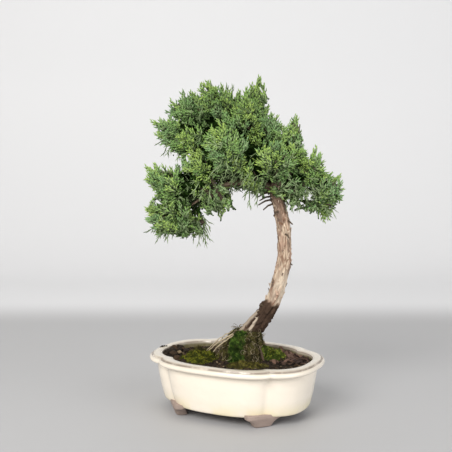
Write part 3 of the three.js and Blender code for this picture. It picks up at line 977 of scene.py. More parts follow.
def on_flat_soil(p, n, face):
    return p.z > (SOIL_LEVEL - 3) * MM and n.z > 0.3 and mound_distance(p) > MOUND_FOOT - 4


# Crumbs of soil that lie on the rim: right, away, up, and radius
CRUMBS = [(-72, 27.5, 53.3, 1.6), (-70, 29.5, 53.3, 1.2), (-68, 30.5, 53.2, 0.9), (-73.5, 26, 53.1, 0.8)]


def rim_crumbs(finish):
    crumbs = Body()
    for i, (right, away, up, radius) in enumerate(CRUMBS):
        grain = lump(radius * MM, 0.8, 70 + i, 2)
        place = shown(right, away, up)
        crumbs.add([place + v.co for v in grain.vertices], [face.vertices for face in grain.polygons])
        bpy.data.meshes.remove(grain)
    piece = new_piece("rim_crumbs", crumbs.points, crumbs.faces, finish)
    add_values(piece.data, "tone", [0.3] * len(crumbs.points))
    return piece


def make_grains(settings, soil):
    def ground_near(right, away, reach):
        """The flat soil round a place."""
        middle = shown(right, away, 0)
        return upper_faces(
            soil, lambda p, n, face: on_flat_soil(p, n, face) and (p - middle).xy.length < reach * MM
        )

    finish = grain_finish(settings)
    shapes = [lump(0.0013, 0.8, i) for i in range(6)]
    grains = strewn("soil_grains", upper_faces(soil, on_flat_soil), shapes, finish,
                    spacing=0.0021, smallest=0.5, largest=1.5, seed=3)
    made = [grains, rim_crumbs(finish)]
    clods = [lump(0.0032, 0.75, 40 + i, 2) for i in range(5)]
    for right, away, reach, rise in ((-57, 8, 22, 1.4), (-62, 22, 14, 4.4)):
        made.append(strewn("soil_clods", ground_near(right, away, reach), clods, finish,
                           spacing=0.0052, smallest=0.6, largest=1.25, rise=rise * MM, seed=17))
    settle(joined("soil_grains", made), "soil")
    chips = [lump(0.0021, 0.32, 20 + i, 2, 1.3 + 0.15 * i) for i in range(6)]
    settle(strewn("bark_chips", ground_near(50, 2, 26), chips, chip_finish(),
                  spacing=0.0036, smallest=0.5, largest=1.5, rise=0.0012, spread=0.8, seed=5), "soil")


# Moss

# Each moss mat: its middle (right, away), its half size along and away, how thick it grows, its turn
# in degrees, and its fresh, old and browned colours. Those named as a node stand for it.
MOSS = {
    "moss_mound": ((1, -14.5), (11.5, 9), 5.0, 240,
        (0.27, 0.40, 0.07), (0.026, 0.06, 0.007), (0.05, 0.06, 0.014)),
    "moss_left": ((-35, -2), (20, 17), 7.5, 0,
        (0.58, 0.54, 0.05), (0.05, 0.064, 0.008), (0.05, 0.042, 0.013)),
    "moss_right": ((32.5, -1), (14, 14), 9.5, 0,
        (0.58, 0.60, 0.09), (0.05, 0.085, 0.01), (0.075, 0.06, 0.018)),
    "moss_front": ((9, -31), (20, 8), 4.4, 0,
        (0.32, 0.27, 0.05), (0.08, 0.072, 0.018), (0.11, 0.08, 0.035)),
    "moss_back": ((8, 32), (24, 10), 4.4, 0,
        (0.26, 0.28, 0.03), (0.05, 0.07, 0.014), (0.07, 0.055, 0.018)),
    "back_left": ((-36, 25), (15, 8), 5.5, 10,
        (0.22, 0.18, 0.05), (0.055, 0.05, 0.016), (0.09, 0.065, 0.025)),
    "matted_roots": ((8.5, 0), (29, 23), 3.2, 0,
        (0.27, 0.25, 0.07), (0.045, 0.04, 0.013), (0.085, 0.06, 0.026)),
}
MOSS_RINGS = 30
MOSS_SIDES = 76


def moss_mat(name, middle, half, thickness, turn):
    """A closed, lumpy mat that grows out of the ground and thins to nothing at a ragged edge."""
    climbs = name.startswith(("moss_mound", "matted"))
    centre = shown(*middle, 0)
    turning = Matrix.Rotation(SHOW_SIDE + math.radians(turn), 3, "Z")
    tops, unders, growths, faces = [], [], [], []
    for ring in range(MOSS_RINGS + 1):
        share = (ring / MOSS_RINGS) ** 0.8
        for way in map(facing, turns(MOSS_SIDES if ring else 1)):
            ragged = 1 + 0.22 * noise.noise(way * 2.2 + Vector((turn, thickness, 0)))
            p = centre + turning @ Vector((half[0] * way.x, half[1] * way.y, 0)) * share * ragged * MM
            p = ground_point(p)
            lumps = 0.8 + 0.75 * noise.noise(p * 130) + 0.6 * noise.noise(p * 330)
            growth = thickness * (1 - share**2) ** 0.6 * min(max(lumps, -0.2), 1.35) - 0.25
            if share == 1.0 or (p.z > (SOIL_LEVEL + 14) * MM and not climbs):
                growth = -0.8
            normal = ground_normal(p)
            tops.append(p + normal * growth * MM)
            unders.append(p - normal * 1.2 * MM)
            growths.append(growth)
    count = len(tops)
    for outer in range(1, count, MOSS_SIDES):
        inner = outer - MOSS_SIDES
        for a, b in neighbours(MOSS_SIDES):
            loop = [inner + a, outer + a, outer + b, inner + b] if inner > 0 else [0, outer + a, outer + b]
            faces += [loop, [count + v for v in reversed(loop)]]
    faces += [[outer + a, count + outer + a, count + outer + b, outer + b] for a, b in neighbours(MOSS_SIDES)]
    mat = new_piece(name, tops + unders, faces)
    add_values(mat.data, "thickness", growths + [-1.0] * count)
    return mat


def moss_shoot(seed):
    """A tiny moss plant: a few pointed blades that spread from one foot."""
    draw = np.random.default_rng(seed)
    plant = Body()
    blades = 6
    for i in range(blades):
        side = facing(2 * math.pi * (i + draw.uniform(-0.3, 0.3)) / blades)
        lean = draw.uniform(0.25, 0.9) if i else 0.1
        tip = leaning(side, lean) * draw.uniform(0.9, 1.5)
        across = side.cross(Vector((0, 0, 1))) * 0.2
        points = [side * 0.1 + across, side * 0.1 - across, -side * 0.16, tip]
        plant.add(points, [(0, 1, 3), (1, 2, 3), (2, 0, 3), (0, 2, 1)], [0.0, 0.0, 0.0, 1.0])
    return plant.mesh(smooth=False)


def make_moss():
    for i, (node, (middle, half, thickness, turn, *colours)) in enumerate(MOSS.items()):
        finish = moss_finish(node + "_finish", *colours)
        mat = moss_mat(node + "_mat", middle, half, thickness, turn)
        mat.data.materials.append(finish)
        grows = [v.value > 0.25 for v in mat.data.attributes["thickness"].data]
        alive = {tuple(v.co) for v, ok in zip(mat.data.vertices, grows) if ok}
        add_values(mat.data, "reach", [0.1] * len(grows))
        add_values(mat.data, "tone", [0.6] * len(grows))

        def mossy(p, n, face):
            return n.z > -0.2 and all(tuple(v.co) in alive for v in face.verts)

        plants = [moss_shoot(60 + 8 * i + k) for k in range(6)]
        shoots = strewn(node + "_tips", upper_faces(mat, mossy), plants, finish,
                        spacing=0.0011, smallest=0.6, largest=1.3, spread=0.5, seed=11 + i)
        settle(joined(node + "_cushion", [mat, shoots]), "moss", *([node] if node in NODES else []))


# Fine roots: slender ones that run down the mound, from foot to tip, and curls that mat it
SLENDER_ROOTS = [
    [(1, -5, 75, 1.1), (-4, -5, 72.5, 0.85), (-12, -1, 67, 0.7), (-20, 4, 60.5, 0.6), (-27, 8, 53, 0.4)],
    [(0, -7, 73.5, 0.9), (-5, -7, 70.5, 0.75), (-12, -5, 65, 0.65), (-18, -2, 59.5, 0.5), (-23, 0, 53, 0.35)],
    [(-3, 3, 74, 0.6), (-10, 4, 70, 0.5), (-19, 8, 63, 0.45), (-28, 12, 53, 0.3)],
    [(4, 14, 72, 0.8), (-4, 20, 62, 0.7), (-10, 25, 53, 0.5), (-15, 29, 49, 0.3)],
    [(20, 10, 72, 0.8), (25, 16, 62, 0.7), (30, 22, 53, 0.5), (36, 27, 49, 0.3)],
]


def curl(seed):
    """A short, pale, curling root fibre."""
    draw = np.random.default_rng(seed)
    length, twist = draw.uniform(6, 15), draw.uniform(0.3, 1.1)
    path, place, heading = [], Vector((0, 0, -0.6)), draw.uniform(0, 6.28)
    climb = draw.uniform(0.3, 0.8)
    steps = 8
    for k in range(steps + 1):
        path.append(place.copy())
        angle = heading + twist * 2 * math.pi * k / steps
        rise = climb * math.cos(math.pi * k / steps)
        place += Vector((math.cos(angle), math.sin(angle), rise)) * length / steps
    fibre = Body()
    fibre.stem(path, [0.14 + 0.07 * math.sin(math.pi * k / steps) for k in range(steps)], [0.5] * (steps + 1))
    return fibre.mesh()


def make_fine_roots(settings, soil):
    finish = root_finish(settings)
    draw = np.random.default_rng(21)
    paths = []
    for stations in SLENDER_ROOTS:
        path = []
        for *station, radius in curved(stations, 5):
            path.append((shown(*(station + draw.uniform(-0.35, 0.35, 3))), radius * MM))
        paths.append(path)
    tubes = path_tubes("slender_roots", paths, 6, finish)
    mossy = shown(*MOSS["moss_mound"][0], 0)

    def matted(p, n, face):
        clear = 0.007 + 0.004 * noise.noise(p * 150)
        shoulder = p.z > (SOIL_LEVEL + 18) * MM and seen_at(p).x < 0
        near = p.z > (SOIL_LEVEL + 3) * MM and mound_distance(p) < MOUND_FOOT + 5
        return near and not shoulder and (p - mossy).xy.length > clear

    fibres = strewn("root_fibres", upper_faces(soil, matted), [curl(300 + i) for i in range(8)], finish,
                    spacing=0.0023, smallest=0.55, largest=1.1, rise=0.0026, spread=0.6, seed=77)
    settle(joined("fine_roots", [tubes, fibres]), "bark")


# Trunk, branches and roots

TRUNK = [
    (3, 0, 30, 12), (5, 0, 48, 12), (8.5, 0, 62, 10.5), (14.5, 0, 75.5, 8.1), (23, -0.5, 85.5, 6.7),
    (29, -1, 95, 6.5), (34.3, -1, 104, 6.7), (40.4, -1, 122.7, 6.4), (44.4, -0.5, 141.5, 6.3),
    (45, 0, 155, 6.15), (44.2, 0.5, 170, 5.9), (40.8, 0.5, 187, 5.6), (37.2, 0, 199, 5.7),
    (36.4, 0, 212, 5.6), (36.5, 2, 226, 4.9), (32, 4, 242, 4.1), (26, 3, 257, 3.3), (20, 1, 270, 2.6),
    (16.5, 0, 284, 1.6),
]
ROOTS = [
    [(22, -1, 93, 2.5), (14.4, -2.5, 85.5, 3.0), (8.6, -3, 78, 3.2), (2.5, -3.5, 71, 2.8), (-2, -4, 62, 1.6)],
    [(8, 0, 64, 5), (1, -5, 69, 2), (-6, -9, 60, 0.9), (-12, -13, 48, 0.7)],
    [(7, 2, 62, 5), (1, 4, 70, 2.2), (-8, 7, 64, 0.9), (-15, 10, 54, 0.8), (-24, 13, 44, 0.7)],
    [(9, -3, 62, 5), (8, -11, 65.5, 2), (5, -17.5, 54.5, 1.5), (3, -25, 45.5, 1.3), (2, -32, 41, 1)],
    [(10, -2, 62, 5), (19, -7, 66, 2), (22.5, -10, 57, 1.2), (26, -14, 47.5, 1), (34, -19, 42, 0.8)],
    [(10, 2, 62, 5), (19, 5, 66, 2), (23, 8, 56.5, 1.2), (27, 11, 47.5, 1), (36, 15, 42, 0.8)],
    [(8, 3, 62, 5), (6, 13, 68, 2.2), (3, 19.5, 58, 1.6), (1, 26, 47.5, 1.3), (-2, 32, 42, 1)],
]
BRANCHES = {
    "low": [(36, 2, 207, 4), (23, -4, 212, 3.3), (2, -9, 214, 2.7), (-22, -8, 207, 1.7), (-40, -4, 194, 0.9),
            (-56, -3, 187, 0.7)],
    "middle": [(34, 4, 236, 3.6), (14, -1, 240, 2.8), (-10, -10, 243, 2.4), (-36, -6, 253, 2),
               (-58, -3, 257, 1.5)],
    "upper": [(27, 4, 254, 3), (8, 0, 267, 2.4), (-16, -3, 281, 2), (-42, 1, 279, 1.4)],
    "apex": [(20, 2, 270, 2.5), (17, 0, 280, 2), (15.5, -1, 288, 1.4)],
    "shoulder": [(34, 3, 240, 3), (32, 6, 254, 2.2), (30, 8, 266, 1.4)],
    "right": [(37, 0, 214, 3.8), (50, -5, 224, 3), (66, -5, 222, 2.4), (80, -2, 213, 1.9), (88, 0, 208, 1.4)],
}
PADS = sorted(name for name in NODES if name.startswith("foliage_"))


def limb(stations, sides, parts, relief=0.0, seed=0):
    """A bark-covered limb: points, faces, and for each point its place along and its bark's values."""
    rows = curved(stations, parts)
    places = [shown(*row[:3]) for row in rows]
    points, values = [], []
    length = 0.0
    normal = TURN @ Vector((0, -1, 0))
    for k, (place, (_, _, up, radius)) in enumerate(zip(places, rows)):
        ahead = places[min(k + 1, len(places) - 1)] - places[max(k - 1, 0)]
        ahead.normalize()
        if k:
            length += (place - places[k - 1]).length
        normal = normal - ahead * normal.dot(ahead)
        normal.normalize()
        across = ahead.cross(normal)
        rough = relief * (1 + 0.8 * old_stretch(up)) if relief > 1 else relief
        for turn in turns(sides):
            out = normal * math.cos(turn) + across * math.sin(turn)
            swell, plate = bark_relief(turn, length / MM, seed, rough)
            points.append(place + out * (radius + swell) * MM)
            values.append((turn, length / MM, up, plate))
    points += [places[0], places[-1]]
    values += [(0, 0, rows[0][2], 0), (0, length / MM, rows[-1][2], 0)]
    return points, ring_faces(len(places), sides), values


def bark_relief(turn, along, seed, relief):
    """How far the bark stands proud, in millimetres, and how much of a plate it is."""
    around = facing(turn)
    warp = 0.35 * noise.noise(around * 3 + Vector((seed, 1, along / 7)))
    where = around * 1.4 + Vector((seed * 7.3 + warp, warp, along / 19))
    value = noise.noise(where) + 0.5 * noise.noise(where * 2.6 + Vector((5, 5, 5)))
    plate = clamp((value + 0.02) / 0.07)
    fine = noise.noise(around * 6 + Vector((seed, 3, along / 4)))
    crease = noise.noise(around * 2.2 + Vector((9, seed, along / 40)))
    lip = plate * (1 - clamp((value - 0.05) / 0.25))
    return relief * (0.55 * plate + 0.55 * lip + 0.45 * fine + 0.6 * crease - 0.35), plate


def bark_mesh(name, limbs, material):
    body = Body()
    for made in limbs:
        body.add(*made)
    mesh = plain_mesh(name, body.points, body.faces, True)
    mesh.materials.append(material)
    add_values(mesh, "plate", [plate for *_, plate in body.values])
    for key, share in (("old", old_share), ("pale", pale_share)):
        add_values(mesh, key, [share(*place) for *place, _ in body.values])
    layer = mesh.uv_layers.new(name="along")
    for loop in mesh.loops:
        turn, along, _, _ = body.values[loop.vertex_index]
        layer.data[loop.index].uv = (6 * turn * MM, along * MM)
    outward(mesh, merged=False)
    return place_in_scene(name, mesh)


OLD_BARK = (74.0, 101.0)  # the dark stretch of old bark, as heights


def old_stretch(up):
    low, high = OLD_BARK
    return smooth_step(low - 3, low + 1, up) * (1 - smooth_step(high - 1, high + 2, up))


def old_share(turn, along, up):
    """The dark stretch of old bark low on the trunk, broken at its ends, and its ragged patches above."""
    ragged = 5 * noise.noise(Vector((math.cos(turn) * 2, math.sin(turn) * 2, along / 9)))
    stretch = old_stretch(up + 0.6 * ragged)
    base = 0.75 * (1 - smooth_step(70, 80, up + ragged))
    crown = 0.55 * smooth_step(186, 208, up + ragged)
    return min(1.0, max(stretch, base, crown))


def pale_share(turn, along, up):
    """Bare dead wood: the edge of the limb that flares out low, a strip beside it, and the stretch above."""
    around = (turn + math.pi) % (2 * math.pi) - math.pi
    ragged = noise.noise(Vector((along / 5, 4, 4)))
    if along < 36 and 68 < up < 96:
        return 0.47 * smooth_step(0.1, 0.5, around + 0.3 * ragged) * smooth_step(-3.1, -2.7, -around)
    lean = 0.055 * (86 - up) - 0.87
    strip = smooth_step(0.30, 0.12, abs(around - lean - 0.12 * ragged))
    strip *= smooth_step(68, 74, up) * (1 - smooth_step(84, 88, up))
    above = smooth_step(-0.45, 0.0, noise.noise(Vector((math.cos(turn), math.sin(turn), along / 25)))) * 0.8
    above *= smooth_step(OLD_BARK[1] + 1, OLD_BARK[1] + 4, up) * (1 - smooth_step(118, 142, up))
    return max(0.65 * strip, above)


def make_trunk(settings):
    limbs = [limb(TRUNK, 80, 14, relief=1.2)]
    for seed, group in ((10, ROOTS), (30, BRANCHES.values())):
        limbs += [limb(stations, 20, 10, relief=0.25, seed=seed + i) for i, stations in enumerate(group)]
    piece = bark_mesh("trunk_and_branches_bark", limbs, bark_finish(settings))
    shapes = [flake(500 + i) for i in range(10)]
    flakes = strewn("bark_flakes", upper_faces(piece, flaking), shapes, flake_finish(settings), along=True,
                    spacing=0.0060, smallest=0.5, largest=1.1, spread=0.25, seed=41)
    settle(flakes, "bark")
    settle(piece, "bark", "trunk_and_branches")


def flaking(p, n, face):
    """Whether the bark peels at a place: all along the bare trunk above the dark stretch."""
    low, high = shown(36, 0, 106), shown(38, 0, 214)
    near = min((p - shown(*station[:3])).length for station in TRUNK[5:14])
    return low.z < p.z < high.z and near < 0.016


def flake(seed):
    """A scale of bark, along X, that is fast at its foot and curls up at its ragged end."""
    draw = np.random.default_rng(seed)
    length, half, lift = draw.uniform(3.0, 6.5), draw.uniform(0.7, 1.5), draw.uniform(0.6, 1.7)
    skew = draw.uniform(-0.5, 0.5)
    points = []
    for t, share in ((0.0, 0.6), (0.35, 1.0), (0.7, 0.85), (1.0, 0.3)):
        middle = Vector((length * (t - 0.4), skew * t, lift * t**2 - 0.1))
        width = half * share * draw.uniform(0.8, 1.2)
        for side, up in ((-1, -0.18), (1, -0.18), (1, 0.12), (-1, 0.12)):
            points.append((middle + Vector((0, side * width, up - 0.25 * lift * abs(side) * t))) * MM)
    faces = [(3, 2, 1, 0), (12, 13, 14, 15)]
    for row in (0, 4, 8):
        faces += [(row + j, row + i, row + 4 + i, row + 4 + j) for j, i in neighbours(4)]
    return plain_mesh("flake", points, faces)


# Foliage

SPRAY_LENGTH = 9.0


def spray(seed, fingers=7, girth=1.0):
    """The end of a shoot, with its foot at the origin: short, upswept fingers round a stem."""
    draw = np.random.default_rng(seed)
    body = Body()
    bend = Vector((*draw.uniform(-1.5, 1.5, 2), 0))

    def stem(t):
        return Vector((0, 0, SPRAY_LENGTH * t)) + bend * t * t

    radii = [0.52 * girth, 0.6 * girth, 0.6 * girth]
    body.stem([stem(t) for t in (0, 0.5, 0.85, 1.05)], radii, [0, 0.45, 0.8, 1])
    for i in range(fingers):
        t = 0.08 + 0.8 * i / (fingers - 1) + draw.uniform(-0.03, 0.03)
        side = facing(2.4 * i + draw.uniform(-0.4, 0.4))
        length = (6.4 - 3.0 * t) * draw.uniform(0.8, 1.2)
        lean = draw.uniform(0.55, 0.85)
        first, second = (leaning(side, angle) * length * 0.5 for angle in (lean, lean * 0.3))
        path = [stem(t), stem(t) + first, stem(t) + first + second]
        body.stem(path, [0.52 * girth, 0.66 * girth], [0.5 * t, 0.35 + 0.4 * t, 1])
    return body


def thread(seed):
    """A long, thin, drooping shoot with its foot at the origin."""
    draw = np.random.default_rng(seed)
    body = Body()
    length = draw.uniform(11, 17)
    bend = Vector((*draw.uniform(-3.2, 3.2, 2), 0))

    def stem(t):
        return Vector((0, 0, length * t)) + bend * t * t

    body.stem([stem(k / 4) for k in range(5)], [0.5, 0.5, 0.46, 0.42], [0.1, 0.16, 0.22, 0.3, 0.5])
    for i in range(3):
        start = stem(draw.uniform(0.3, 0.8))
        side = facing(2.4 * i + draw.uniform(-0.5, 0.5))
        ahead = (side * 0.5 + Vector((0, 0, 0.9))).normalized()
        size = draw.uniform(3, 6)
        path = [start, start + ahead * size * 0.6, start + ahead * size + Vector((0, 0, 0.15 * size))]
        body.stem(path, [0.42, 0.44], [0.18, 0.28, 0.55])
    return body


def hull_into(shape, node, swell, shift):
    """Adds the convex hull of a node, swollen about its middle and shifted, to a shape."""
    low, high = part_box(node)
    middle = (low + high) / 2
    points = [middle + shift + (v.co - middle) * swell for v in NODES[node].data.vertices]
    made = bmesh.ops.convex_hull(shape, input=[shape.verts.new(p) for p in points])
    bmesh.ops.delete(shape, geom=made["geom_interior"], context="VERTS")


def crown_surface():
    """One closed surface round all the pads, with the narrow gaps between them filled."""
    mesh = bpy.data.meshes.new("crown")
    with reshaped(mesh) as shape:
        for node in PADS:
            right, up, swell = PAD_FIT.get(node.replace("foliage_", ""), (0, 0, 0.97))
            hull_into(shape, node, swell, TURN @ Vector((right, 0, up)) * MM)
    crown = place_in_scene("crown", mesh)
    for strength in (CROWN_CLOSING, -CROWN_CLOSING, 0.0):
        modify(crown, "REMESH", mode="VOXEL", voxel_size=CROWN_VOXEL)
        if strength:
            modify(crown, "DISPLACE", strength=strength, mid_level=0.0)
    modify(crown, "SMOOTH", iterations=4)
    surface = modified_mesh(crown)
    bpy.data.objects.remove(crown)
    return surface


def pad_surfaces(surface):
    """The crown's surface, shared out: for each pad a carrier of the faces that are nearest to it."""
    centres = np.array([face.center for face in surface.polygons])
    distances = []
    for low, high in map(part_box, PADS):
        distances.append(np.linalg.norm((centres - (low + high) / 2) / ((high - low) / 2), axis=1))
    nearest = np.argmin(distances, axis=0)
    carriers = []
    for i in range(len(PADS)):
        used, faces = {}, []
        for k in np.flatnonzero(nearest == i):
            faces.append([used.setdefault(v, len(used)) for v in surface.polygons[int(k)].vertices])
        mesh = plain_mesh("pad_surface", [surface.vertices[v].co for v in used], faces)
        carriers.append(place_in_scene("pad_surface", mesh))
    return carriers


CROWN_CLOSING = 0.0055
CROWN_VOXEL = 0.0022
CORE_DEPTH = 0.0125
CORE_VOXEL = 0.0028
TWIGS_IN_PAD = 14
# How far a pad's shoots are shifted to the right and up from it, in millimetres, and their share of its size
PAD_FIT = {
    "low_front": (-1.5, 5, 0.82), "low_inner": (0, 3.5, 0.90), "low_middle": (0, 2, 0.94),
    "low_outer": (0.3, -0.3, 0.96), "low_tip": (0.3, -1.3, 0.97), "low_back": (0, 4, 0.88),
    "upper_outer": (0, -1.5, 0.96), "upper_front": (0, -1, 0.97), "middle_outer": (1, 0, 0.95),
    "middle_inner": (1.5, 0, 0.95), "right_inner": (-2, -1, 0.94), "right_spike": (-2.5, 0, 0.93),
    "right_outer": (-0.5, 0.5, 0.94), "right_under": (-2, 3, 0.90), "right_hanging": (5.5, 1, 0.84),
    "right_tip": (0.8, -0.7, 1.0),
}
TRUNK_TOP = (34.0, 2.0, 225.0)
# How a pad grows: the spacing of its leafy sprays, of its bare threads and of its inner shoots, and how
# far its sprays stand out, in millimetres, and the slopes of its surface, as the Z of the normal, above
# which it bears sprays and below which it bears threads. A pad with right_of grows only right of that
USUAL_GROWTH = {"threads": 5.5, "inner": 8.5, "proud": 0.0, "leafy_above": -1.1, "threads_below": -0.55}
PAD_GROWTH = {
    "low_back": {"leafy_above": -0.5, "threads_below": -1.1},
    "low_hanging": {"sprays": 16.0, "threads": 6.0, "inner": 26.0, "leafy_above": 0.3, "threads_below": 0.6},
    "low_inner": {"sprays": 8.2, "threads": 5.0, "leafy_above": -0.1, "threads_below": 0.1},
    "low_front": {"sprays": 7.6, "threads": 7.0, "leafy_above": 0.0, "threads_below": -0.2, "proud": -1.0},
    "low_middle": {"sprays": 7.6, "threads": 5.0, "leafy_above": -0.15, "threads_below": -0.1},
    "low_outer": {"leafy_above": -0.6, "threads_below": -0.6, "proud": -0.7},
    "low_tip": {"leafy_above": -0.9, "threads_below": -0.8, "proud": -0.7},
    "middle_outer": {"leafy_above": -0.7, "threads": 5.0, "threads_below": -0.8, "proud": -1.0},
    "right_spike": {"proud": -3.0, "threads_below": -0.9},
    "right_outer": {"proud": -1.5, "threads_below": -0.9},
    "right_tip": {"threads_below": -0.9, "proud": -0.5},
    "right_hanging": {"right_of": 68.0, "sprays": 7.6, "leafy_above": -0.3, "threads_below": -0.7,
                      "proud": -1.0},
    "right_under": {"sprays": 8.0, "threads": 5.5, "leafy_above": 0.1, "threads_below": -0.2},
}
# The pointed shoots that stand out of the crown: for each pad, the foot and the tip of each
LEADERS = {
    "apex": [(17, -1, 290, 21.5, -1, 310), (21, 1, 283, 24.5, 2, 295), (14, -2, 290, 13, -3, 304),
        (11, -2, 285, 8, -3, 300), (22, -1, 272, 30.5, -1, 284)],
    "upper_front": [(-29, -4, 292, -32, -5, 303.5), (-24, -3, 293, -26, -4, 305),
        (-15, -3, 292, -13, -3, 302.5), (-12, -3, 290, -9, -3, 300), (-33, -3, 283, -38, -4, 295)],
    "upper_middle": [(1, -5, 284, 2, -5, 297.5), (-5, -6, 284, -5.5, -6, 298)],
    "upper_outer": [(-36, 2, 286, -43, 2, 297), (-52, 0, 280, -61, -1, 288.5)],
    "middle_outer": [(-66, -4, 264, -78.5, -4, 269), (-66, 2, 265, -71, 4, 272),
        (-67, -6, 256, -74.5, -7, 258)],
    "low_outer": [(-72, -10, 219, -84, -10, 228), (-70, -8, 220, -76, -9, 232),
        (-71, -8, 213, -81.5, -9, 216)],
    "low_tip": [(-71, -1, 190, -80.5, -2, 187), (-68, -2, 176, -74, -3, 165)],
    "shoulder": [(31, 4, 257, 35.5, 3, 267), (30, 4, 264, 33.5, 3, 277)],
    "right_spike": [(50, 1, 254, 50.5, 1, 270), (52.5, 1, 258, 56, 1, 275.5)],
    "right_outer": [(70, -3, 235, 72.5, -3, 247), (70, -3, 228, 78, -3, 240), (74, -4, 218, 80.5, -4, 228)],
    "right_tip": [(85, -1, 212, 96.5, -1, 219.5), (86, 0, 205, 96.5, 0, 201)],
    "right_hanging": [(83, 3, 190, 86, 3, 179), (81, 3, 190, 81.5, 3, 177)],
    "upper_back": [(-8, 24, 280, -10, 28, 294), (2, 28, 276, 8, 36, 286)],
    "shoulder_back": [(26, 24, 255, 30, 30, 268)],
    "right_back": [(62, 24, 226, 70, 34, 235)],
    "middle_back": [(-14, 30, 240, -24, 44, 246)],
}
# The long bare shoots, most of which hang from the crown: for each pad, the foot and the tip of each
STRANDS = {
    "low_hanging": [(-37, 3, 190, -36, 2, 154), (-37, 3, 188, -30, 3, 152), (-35, 1, 188, -25.5, 0, 155),
        (-35, 3, 190, -24, 3, 163), (-35, 0, 190, -23, 1, 171), (-41, 4, 184, -41, 5, 159),
        (-39, -2, 186, -32, -4, 160), (-37, 6, 188, -27, 9, 162), (-42, 0, 182, -36, -2, 164),
        (-34, 3, 186, -23, 3, 175), (-35, 3, 180, -24, 4, 157)],
    "upper_middle": [(-5, -6, 290, -4.5, -6, 304.5), (-8, -6, 288, -9.5, -6, 302)],
    "low_front": [(-19, -16, 198, -15, -17, 187)],
    "low_inner": [(-5, -4, 203, -3, -6, 188)],
    "low_middle": [(4, -10, 206, 3, -13, 190), (12, -14, 205, 13, -16, 188), (19, -12, 206, 17, -15, 193)],
    "right_under": [(50, -8, 202, 49.5, -10, 186), (54, -9, 202, 57.5, -12, 185),
        (46, -8, 203, 47, -10, 191)],
    "middle_outer": [(-58, -4, 250, -63, -6, 237), (-52, -5, 248, -54, -7, 234)],
}
# Where nothing grows, so that the trunk's top or the sky shows: least and most right and up, and most away
OPENINGS = [
    (23, 47, 0, 238, 4), (-69, -56, 222, 242, 90), (-42, -24, 172, 202, 90), (58, 76, 165, 194, 90),
    (-17, 0, 180, 197, 90), (-59, -45, 150, 172, 90),
]
# Where the crown is cut back, as seen in the photograph's view at the trunk's distance: least and most
# right and up
PRUNED = [
    (57, 76, 150, 188), (91, 107, 174, 195), (88, 107, 174, 187), (-4, 6, 176, 200), (-10, 6, 176, 190),
    (-23, -10, 173, 182), (-34, -28, 182, 190), (-24, -18, 176, 188), (80, 88, 230, 238),
    (-71, -61, 228, 239), (-77, -68, 232, 237), (38, 46, 267, 279), (97, 104, 205, 212), (61, 67, 243, 260),
    (27, 33, 289, 304), (-56, -42, 154, 163), (88, 96, 220, 227), (-32, -24, 296, 299), (-91, -82, 217, 226),
    (-58, -52, 286, 293),
]
# Where the dark shell of painted shade inside the crown ends lower, so that the notch at the crown's left
# stays
# open: least and most right and up
NOTCH = (-63, -46, 222, 237)
# More edges than lie between any two points of one finger of a shoot
LONGEST_FINGER = 12


def opening(p):
    """Whether a place lies in one of the crown's openings."""
    right, away, up = seen_at(p)
    return any(a < right < b and c < up < d and away < e for a, b, c, d, e in OPENINGS)


def pruned(piece):
    """Takes away each finger of a shoot whose middle is seen in one of the places that are cut back."""
    mesh = piece.data
    points = np.array([seen_at(vertex.co) for vertex in mesh.vertices])
    nearness = VIEW[1] / (VIEW[1] + points[:, 1])
    ends = np.array([edge.vertices for edge in mesh.edges]).T
    finger = np.arange(len(points))
    for _ in range(LONGEST_FINGER):
        least = finger[ends].min(axis=0)
        for side in ends:
            np.minimum.at(finger, side, least)
    size = np.maximum(np.bincount(finger, minlength=len(points)), 1)
    right, up = (
        np.bincount(finger, (points[:, k] - VIEW[k]) * nearness + VIEW[k], len(points)) / size for k in (0, 2)
    )
    cut = np.any([(a < right) & (right < b) & (c < up) & (up < d) for a, b, c, d in PRUNED], axis=0)[finger]
    with reshaped(mesh) as shape:
        bmesh.ops.delete(shape, geom=[v for v, gone in zip(shape.verts, cut) if gone], context="VERTS")
    return piece


def fan_origin(node):
    """The place in a pad from which its shoots fan out: on the trunk's side of its middle, and low."""
    low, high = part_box(node)
    middle, half = (low + high) / 2, (high - low) / 2
    out = middle - shown(*TRUNK_TOP)
    out.z = 0.0
    out.normalize()
    reach = abs(out.x) * half.x + abs(out.y) * half.y
    sink = 0.1 if "hanging" in node else 0.55
    if half.z > 1.3 * half.x:
        return Vector((middle.x, middle.y, low.z))
    return middle - out * reach * 0.55 - Vector((0, 0, half.z * sink))


def leader(foot, tip, seed, finish):
    """A pointed shoot from foot to tip: sprays set round its axis, fewer and closer towards the tip."""
    draw = np.random.default_rng(seed)
    axis = (tip - foot).normalized()
    aside = axis.orthogonal().normalized()
    levels = 2 + round((tip - foot).length / (5 * MM))
    body = Body()
    for level in range(levels):
        share = level / (levels - 1)
        top = foot.lerp(tip, share)
        for k in range(1 if share == 1.0 else 2 if share > 0.5 else 3):
            lean = 0.0 if share == 1.0 else 0.45 * (1.1 - share)
            side = Matrix.Rotation(2.1 * k + 1.3 * level + draw.uniform(-0.3, 0.3), 3, axis) @ aside
            heading = (axis + side * lean).normalized()
            turn = heading.to_track_quat("Z", "Y").to_matrix()
            sprig = spray(seed * 10 + level * 3 + k)
            root = top - heading * SPRAY_LENGTH * MM
            body.add([root + turn @ (p * MM) for p in sprig.points], sprig.faces, sprig.values)
    return body.shoot("leader", finish, tone=0.5, depth=0.0, fresh=0.7, clump=0.6)


